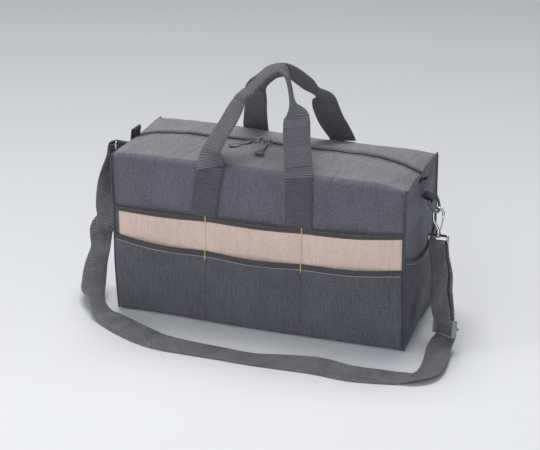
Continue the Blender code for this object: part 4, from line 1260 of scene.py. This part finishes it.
def makeAnchor(name, facing, sideName, head, foot):
    low, high = innerTop(foot) - 3 * mm, hingeZ + 0.2 * mm

    def middleAt(z):
        return mix(foot, head, (z - low) / (high - low))

    def edgeAt(edge):
        def spotAt(share):
            z = mix(low + 6 * mm, high - 9 * mm, share)
            return middleAt(z) + edge * (handle["web"] / 2 - 2.2 * mm), z

        return faceRow(facing, faceOut, spotAt, 2.3 * mm, 20)

    points, sections = [], []
    for k in range(29):
        z = mix(low, high, k / 28)
        middle = middleAt(z)
        out = faceOut(facing, middle, z) + handle["out"] - 0.1 * max(z - shell["edgeStart"], 0.0)
        points.append(Vector((middle, facing * out, z)))
        swell = handle["anchorWave"] * waver(z * 30, head * 20, facing)
        sections.append(webSection(handle["web"], handle["anchorThick"], swell))
    title = f"{name}{sideName.capitalize()}Anchor"
    axes = (wayZ, wayX * -facing, wayY * facing)
    # the anchor takes the darker copy of the handle webbing: painted shade
    piece = sweep(title, points, axes, sections, webs["anchor"], smooth=50)
    dress(piece, "bag", "webbing", f"{name}_{sideName}_handle_anchor")
    stitches(title + "Stitches", [edgeAt(-1), edgeAt(1)], (3.4, 2.3, 0.3), hard["darkThread"])


def makeHandles():
    for name, facing in longSides:
        makeHandle(name, facing)
        for sideName, station, foot in zip(("left", "right"), (0, -1), anchorFeet[name]):
            makeAnchor(name, facing, sideName, handleRoutes[name][station][0] * mm, foot * mm)


# rings, hooks and eyes

ring = {
    "wire": 1.9 * mm, "depth": 22 * mm, "half": 19 * mm, "out": 14.5 * mm, "height": 0.206, "lean": 27,
    "play": 0.6 * mm, "tab": 8 * mm, "tabWidth": 22 * mm, "tabThick": 1.6 * mm, "tabOut": 1.1 * mm,
    "layer": 1.9 * mm, "wrap": 1.3 * mm,
}
hooks = {
    "left": {
        "side": -1, "along": (-0.21, 0.38, 0.90), "across": (0.0, -1.0, 0.0),
        "leaves": (-0.93, 0.0, -0.36), "inner": 6, "stand": 0.0,
    },
    "right": {
        "side": 1, "along": (0.09, -0.25, -0.96), "across": (0.82, -0.57, 0.2),
        "leaves": (0.35, -0.10, -0.93), "inner": 11, "stand": 8 * mm,
    },
}
hook = {
    "wire": 2 * mm, "bow": 7.5 * mm, "nose": 7 * mm, "shank": 19 * mm, "neck": 27 * mm, "gate": 1.2 * mm,
    "eyeTop": 35.5 * mm, "eyeBar": 46 * mm, "eyeCorner": 3.2 * mm, "gateOut": 3.6 * mm,
    "gateSeat": 0.4 * mm,
}
neckOutline = (  # millimetres along from the neck's start, and radius
    (0, 2.6), (0.6, 3.3), (3.2, 3.1), (5.4, 4), (6.2, 3.7),
    (6.2, 2), (10.8, 2), (10.8, 3), (11.4, 3.2), (12.1, 2.3),
)
bossOutline = ((-2, 2.35), (-2, 4.4), (-1.3, 5), (1.3, 5), (2, 4.4), (2, 2.35))
strap = {
    "width": 38 * mm, "thickness": 1.8 * mm, "spacing": 2.6 * mm, "loop": 0.5 * mm, "bar": 1.9 * mm,
    "side": 1.5 * mm, "curl": 0.8 * mm, "steps": 8,
}


def ringBar(side):
    return Vector((side * (halfLength + ring["out"]), 0, ring["height"]))


def ringHang(side):
    lean = math.radians(ring["lean"])
    return Vector((side * math.sin(lean), 0, -math.cos(lean)))


def hookFrame(name):
    side = hooks[name]["side"]
    foot = ringBar(side) + ringHang(side) * ring["depth"]
    along = Vector(hooks[name]["along"]).normalized()
    return foot, along, upright(wayX * side, along)


def eyeFrame(name):
    foot, along, _ = hookFrame(name)
    return foot + along * hook["eyeBar"], upright(Vector(hooks[name]["across"]), along)


def turnedPiece(name, start, axis, outline, material, sides=20):
    # a round body from (distance along the axis, radius) pairs in millimetres
    side = axis.orthogonal().normalized()
    points = [start + axis * (along * mm) for along, _ in outline]
    sections = [roundSection(radius * mm, sides) for _, radius in outline]
    return sweep(name, points, (axis, side, axis.cross(side)), sections, material, smooth=45)


def makeRings():
    for name, side in endSides:
        hang, bar = ringHang(side), ringBar(side)
        points = arc(bar, wayY * ring["half"], hang * ring["depth"], halfTurn(28))
        points += [bar + wayY * ring["half"] * share for share in (-0.8, -0.4, 0, 0.4, 0.8)]
        guide = hang.cross(wayY)
        # the D-ring's chrome is painted dark: painted shade
        piece = wire(name + "DRing", points, ring["wire"], hard["gunmetalPlate"], guide, closed=True)
        dress(piece, f"{name}_ring", "chrome", f"{name}_d_ring")
        wrap = ring["wire"] + ring["wrap"]
        level, top = ring["height"], ring["height"] + ring["tab"]
        back = halfLength + endBulge(0, level) + ring["tabOut"]
        flat = halfLength + endBulge(0, top) + ring["tabOut"]
        path = [Vector((side * flat, 0, top)), Vector((side * back, 0, level + wrap))]
        turns = [math.radians(200 + 30 * k) for k in range(9)]
        path += arc(bar, wayX * (side * wrap), wayZ * wrap, turns)
        path.append(Vector((side * (back + ring["layer"] * 1.5), 0, level + wrap * 2.6)))
        path.append(Vector((side * (flat + ring["layer"]), 0, top)))
        path = [settled(spot) if spot.z > level + wrap * 1.5 else spot for spot in path]
        webPiece(name + "RingTab", path, 4, ring["tabWidth"], ring["tabThick"], f"{name}_ring_tab")


def makeBow(name, foot, along, out):
    bow = hook["bow"]
    centre = foot + along * (bow - (ring["wire"] + hook["wire"] + ring["play"]))
    path = [foot + along * (hook["neck"] + 3 * mm), foot + along * (hook["neck"] - 1 * mm) - out * 0.6 * mm]
    path.append(centre - out * bow * 0.92 + along * (hook["shank"] - bow))
    path.append(centre - out * bow + along * 3 * mm)
    path += arc(centre, out * -bow, along * -bow, halfTurn(12))
    path.append(foot + out * bow + along * hook["nose"])
    guide = along.cross(out)
    piece = wire(name + "HookBow", smoothPath(path, 3), hook["wire"], hard["chromePlate"], guide, sides=14)
    dress(piece, name + "_hook", "chrome", name + "_snap_hook")


def makeEye(name, top, along):
    bar, across = eyeFrame(name)
    half = strap["width"] / 2 + strap["side"] + strap["bar"]
    corner = hook["eyeCorner"]
    loop = []
    for sign, row, inward in ((1, top, 1), (1, bar, -1), (-1, bar, -1), (-1, top, 1)):
        middle = row + across * sign * (half - corner) + along * inward * corner
        turns = [math.pi / 2 * (k / 5) for k in range(6)]
        if (row is bar) != (sign == 1):
            turns.reverse()
        loop += arc(middle, across * (sign * corner), along * (-inward * corner), turns)
    guide = along.cross(across)
    eye = wire(name + "EyeFrame", loop, strap["bar"], hard["chromePlate"], guide, closed=True, sides=14)
    dress(eye, "strap", "chrome", name + "_swivel_eye")
    boss = turnedPiece(name + "EyeBoss", top, along, bossOutline, hard["chromePlate"])
    dress(boss, "strap", "chrome")


def makeHooks():
    for name in hooks:
        foot, along, out = hookFrame(name)
        makeBow(name, foot, along, out)
        start = foot + along * hook["neck"]
        neck = turnedPiece(name + "HookNeck", start, along, neckOutline, hard["chromePlate"])
        dress(neck, name + "_hook", "chrome")
        pivot = foot + out * hook["gateOut"] + along * (hook["neck"] - hook["gateSeat"])
        tip = foot + out * hook["bow"] + along * (hook["nose"] + hook["wire"] / 2 + 0.5 * mm)
        points = [pivot.lerp(tip, k / 8) for k in range(9)]
        gate = wire(name + "HookGate", points, hook["gate"], hard["chromePlate"], along.cross(out))
        dress(gate, name + "_gate", "chrome", name + "_hook_gate")
        makeEye(name, foot + along * hook["eyeTop"], along)


# the shoulder strap

strapStations = [  # place in millimetres, then the way across
    ((-275.6, 17.9, 224.4), (-0.09, -0.92, 0.37)), ((-277.9, 12.2, 205.8), (-0.1, -0.92, 0.35)),
    ((-278.5, 5.2, 183.0), (-0.5, -0.8, 0.2)), ((-279.2, 0.0, 160.7), (-0.85, -0.5, 0.0)),
    ((-281.5, -4.2, 130.2), (-1.0, -0.1, 0.0)), ((-281.9, -7.2, 107.0), (-1.0, 0.2, 0.0)),
    ((-289.6, -11.2, 90.5), (-1.0, -0.1, 0.0)), ((-288.2, -19.5, 64.0), (-0.95, 0.25, 0.0)),
    ((-290.3, -33.5, 40.5), (-1.0, 0.0, 0.0)), ((-284.3, -57.0, 20.5), (-0.95, -0.5, 0.0)),
    ((-273.0, -85.0, 13.0), (-0.75, -0.6, 0.35)), ((-254.0, -110.0, 11.5), (-0.55, -0.6, 0.5)),
    ((-226.0, -141.5, 6.2), (-0.1, -0.95, -0.05)), ((-186.2, -171.0, 6.4), (0.05, -0.95, -0.27)),
    ((-146.2, -192.0, 6.4), (0.08, -0.95, -0.27)), ((-109.7, -202.5, 4.8), (0.15, -0.96, -0.18)),
    ((-67.0, -204.5, 3.4), (0.2, -0.97, -0.1)), ((-18.1, -205.5, 2.4), (0.2, -0.98, -0.05)),
    ((34.0, -208.0, 2.0), (0.2, -0.98, -0.04)), ((85.0, -207.0, 4.4), (0.2, -0.96, -0.18)),
    ((133.9, -206.5, 6.2), (0.2, -0.95, -0.27)), ((185.1, -211.4, 4.8), (0.2, -0.96, -0.19)),
    ((231.6, -204.4, 3.4), (0.22, -0.96, -0.11)), ((254.6, -198.3, 2.6), (0.25, -0.96, -0.02)),
    ((277.4, -191.4, 4.8), (0.36, -0.92, 0.17)), ((289.7, -175.0, 5.2), (0.86, -0.47, 0.14)),
    ((291.5, -150.6, 5.2), (0.97, -0.16, 0.13)), ((288.4, -121.4, 6.0), (0.97, -0.18, 0.13)),
    ((283.9, -88.1, 9.5), (0.97, -0.25, 0.05)), ((285.6, -66.4, 17.5), (0.83, -0.56, -0.05)),
    ((286.1, -63.0, 31.5), (0.8, -0.59, -0.07)), ((285.6, -61.4, 44.5), (0.8, -0.6, -0.03)),
    ((281.4, -53.5, 57.5), (0.8, -0.6, 0.0)), ((276.0, -41.0, 76.4), (0.8, -0.6, 0.12)),
    ((272.5, -29.5, 97.0), (0.8, -0.57, 0.15)), ((264.1, -16.9, 117.8), (0.8, -0.56, 0.22)),
]
adjuster = {
    "station": len(strapStations) - 6, "bar": 3.4 * mm, "length": 26 * mm, "slot": 2.1 * mm,
    "side": 0.6 * mm,
}


def eyeWrap(name, count=14):
    # the strap's turn round an eye's bar
    bar, across = eyeFrame(name)
    leave = upright(Vector(hooks[name]["leaves"]), across)
    normal = across.cross(leave) * hooks[name]["side"]
    radius = strap["bar"] + strap["loop"] + strap["thickness"] / 2
    points = arc(bar, normal * radius, leave * -radius, halfTurn(count))
    return points, normal, across, radius


def strapEnd(name, wrap, main, directions):
    # round the eye's bar, and back along the strap as its inner layer
    points, normal, barAcross, radius = wrap
    count = hooks[name]["inner"] * strap["steps"] // 2
    inner, across = [], []
    for k in range(1, count + 1):
        i = k if name == "left" else len(main) - 1 - k
        _, side, towards = directions[i]
        if towards.dot(normal) >= 0:
            towards = -towards
        spread = strap["spacing"] + hooks[name]["stand"] * bell(k / count * 0.9)
        inner.append(main[i] + towards * mix(2 * radius, spread, ease(k / count * 2)))
        across.append(side)
    return points[1:] + inner, [barAcross] * (len(points) - 1) + across


def makeStrap():
    left, right = eyeWrap("left"), eyeWrap("right")
    points = [left[0][0], *[Vector(place) * mm for place, _ in strapStations], right[0][0]]
    across = [left[2], *[Vector(direction).normalized() for _, direction in strapStations], right[2]]
    main = smoothPath(points, strap["steps"])
    mainAcross = smoothPath(across, strap["steps"])
    directions = pathFrames(main, mainAcross)
    leftPath, leftAcross = strapEnd("left", left, main, directions)
    rightPath, rightAcross = strapEnd("right", right, main, directions)
    path = [*reversed(leftPath), *main, *rightPath]
    frames = pathFrames(path, [*reversed(leftAcross), *mainAcross, *rightAcross])
    sections = []
    for i, point in enumerate(path):
        free = edgeFade(min(i, len(path) - i) / len(path) - 0.08, 0.08)
        curl = strap["curl"] * waver(point.x * 14, point.y * 14, 6.6) * free
        curl *= edgeFade(point.z - 2 * mm, 0.02)
        sections.append(flatSection(strap["width"], strap["thickness"], 0.4, crease=curl))
    piece = sweep("shoulderStrap", path, frames, sections, webs["strap"], smooth=60)
    dress(piece, "strap", "strap", "shoulder_strap")


def makeAdjuster():
    places = [Vector(place) * mm for place, _ in strapStations]
    i = adjuster["station"]
    middle, tangent = places[i], tangentAt(places, i)
    side = upright(Vector(strapStations[i][1]), tangent)
    normal = tangent.cross(side)
    front = normal if normal.y < 0 else -normal
    bar = adjuster["bar"] / 2
    half = strap["width"] / 2 + adjuster["side"] + bar
    lift = strap["thickness"] / 2 + adjuster["slot"] + bar
    reach = adjuster["length"] / 2 - bar
    bm = bmesh.new()

    def block(centre, wide, long, thick):
        for vertex in bmesh.ops.create_cube(bm, size=2.0)["verts"]:
            x, y, z = vertex.co
            vertex.co = centre + side * x * wide + tangent * y * long + front * z * thick

    for sign in (-1, 1):
        post = middle + side * half * sign
        block(post, bar, reach + bar, bar * 1.15)
        for level, share in ((-1, 0.14), (1, 0.98)):
            long, thick = (reach + bar) * share, lift * 0.5 + bar * 0.9
            block(post + front * lift * level * 0.5, bar * 0.9, long, thick)
        block(middle + tangent * reach * sign + front * lift, half + bar * 0.8, bar * 0.9, bar * 0.75)
    block(middle - front * lift, half + bar * 0.8, bar * 0.95, bar * 0.8)
    bmesh.ops.recalc_face_normals(bm, faces=bm.faces)
    piece = newObject("strapAdjuster", bm, hard["nickelPlate"], smooth=40)
    soft = piece.modifiers.new("softEdges", "BEVEL")
    soft.width = 0.5 * mm
    soft.segments = 3
    dress(piece, "adjuster", "nickel", "strap_adjuster")


# studio

studio = {
    "azimuth": 19.81, "elevation": 21.03, "target": (-0.01217, 0, 0.13022), "distance": 3.271,
    "lens": 142.684, "sensor": 36, "clipEnd": 60,
    # the far floor colour is painted shade for the light's falloff
    "floor": (0.725, 0.715, 0.700, 1), "farFloorShade": (0.372, 0.382, 0.380, 1), "farWay": (-0.339, 0.941, 0.0),
    "near": -0.35, "far": 1.75, "sky": (0.74, 0.82, 1.0, 1), "skyStrength": 0.35,
}
lights = {
    "skyLight": {"at": (-0.9, 2.0, 4.9), "size": 3.0, "power": 250, "tint": (1.0, 0.99, 0.975)},
    "frontLight": {"at": (0.5, -3.6, 1.5), "size": 2.6, "power": 56, "tint": (0.95, 0.97, 1.0)},
    "leftLight": {"at": (-3.0, -1.6, 1.9), "size": 2.2, "power": 30, "tint": (0.96, 0.98, 1.0)},
}


def makeCamera(scene):
    camera = bpy.data.objects.new("camera", bpy.data.cameras.new("camera"))
    scene.collection.objects.link(camera)
    azimuth, elevation = math.radians(studio["azimuth"]), math.radians(studio["elevation"])
    flat = math.cos(elevation)
    away = Vector((math.sin(azimuth) * flat, -math.cos(azimuth) * flat, math.sin(elevation)))
    camera.location = Vector(studio["target"]) + away * studio["distance"]
    camera.rotation_euler = away.to_track_quat("Z", "Y").to_euler()
    camera.data.lens = studio["lens"]
    camera.data.sensor_width = studio["sensor"]
    camera.data.clip_end = studio["clipEnd"]
    scene.camera = camera
    scene.view_settings.view_transform = "Standard"


def makeFloor():
    # the floor darkens away from the camera's side, as in the photograph
    material, tree, shader = startMaterial("studioFloor", {"Roughness": 0.65, "Specular IOR Level": 0.2})
    place = tree.nodes.new("ShaderNodeTexCoord")
    reach = addNode(tree, "ShaderNodeVectorMath", operation="DOT_PRODUCT")
    reach.inputs[1].default_value = studio["farWay"]
    tree.links.new(place.outputs["Object"], reach.inputs[0])
    fade = addNode(tree, "ShaderNodeMapRange", **{"From Min": studio["near"], "From Max": studio["far"]})
    tree.links.new(reach.outputs["Value"], fade.inputs["Value"])
    # painted shade: the floor's colour darkens away from the camera, standing in for the light's falloff
    shade = mixColour(tree, fade.outputs[0], studio["floor"], studio["farFloorShade"])
    tree.links.new(shade, shader["Base Color"])
    bm = bmesh.new()
    bmesh.ops.create_grid(bm, x_segments=2, y_segments=2, size=14)
    floor = newObject("studioGround", bm, material, smooth=0)
    made.remove(floor)


def makeLights(scene):
    for name, light in lights.items():
        data = bpy.data.lights.new(name, "AREA")
        data.energy = light["power"]
        data.size = light["size"]
        data.color = light["tint"]
        lamp = bpy.data.objects.new(name, data)
        lamp.location = light["at"]
        aim = Vector(light["at"]) - Vector((0, 0, 0.12))
        lamp.rotation_euler = aim.to_track_quat("Z", "Y").to_euler()
        scene.collection.objects.link(lamp)
    world = bpy.data.worlds.new("studioSky")
    world.use_nodes = True
    background = world.node_tree.nodes["Background"].inputs
    background["Color"].default_value = studio["sky"]
    background["Strength"].default_value = studio["skyStrength"]
    scene.world = world


def settleBag():
    # the cloth settles; what is stiff, or swings, keeps its place
    stiff = ("Slider", "Pull", "Handle", "Ring", "Hook", "Eye", "shoulderStrap", "strapAdjuster")
    for piece in made:
        if not any(word in piece.name for word in stiff):
            for vertex in piece.data.vertices:
                vertex.co = settled(vertex.co)


makeCamera(bpy.context.scene)
makeFloor()
makeLights(bpy.context.scene)
say("studio ready")
makeSkins()
makeBase()
say("body ready")
makePockets()
for endName, facing in endSides:
    makeEndPocket(endName, facing)
    makeTopSeam(endName, facing)
makePiping()
say("pockets and piping ready")
makeZip()
makeSliders()
makeZipTabs()
say("zip ready")
makeHandles()
makeRings()
makeHooks()
makeStrap()
makeAdjuster()
say("handles, strap and metal ready")
settleBag()
say("the bag has settled")
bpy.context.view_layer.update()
say(f"{len(made)} pieces")
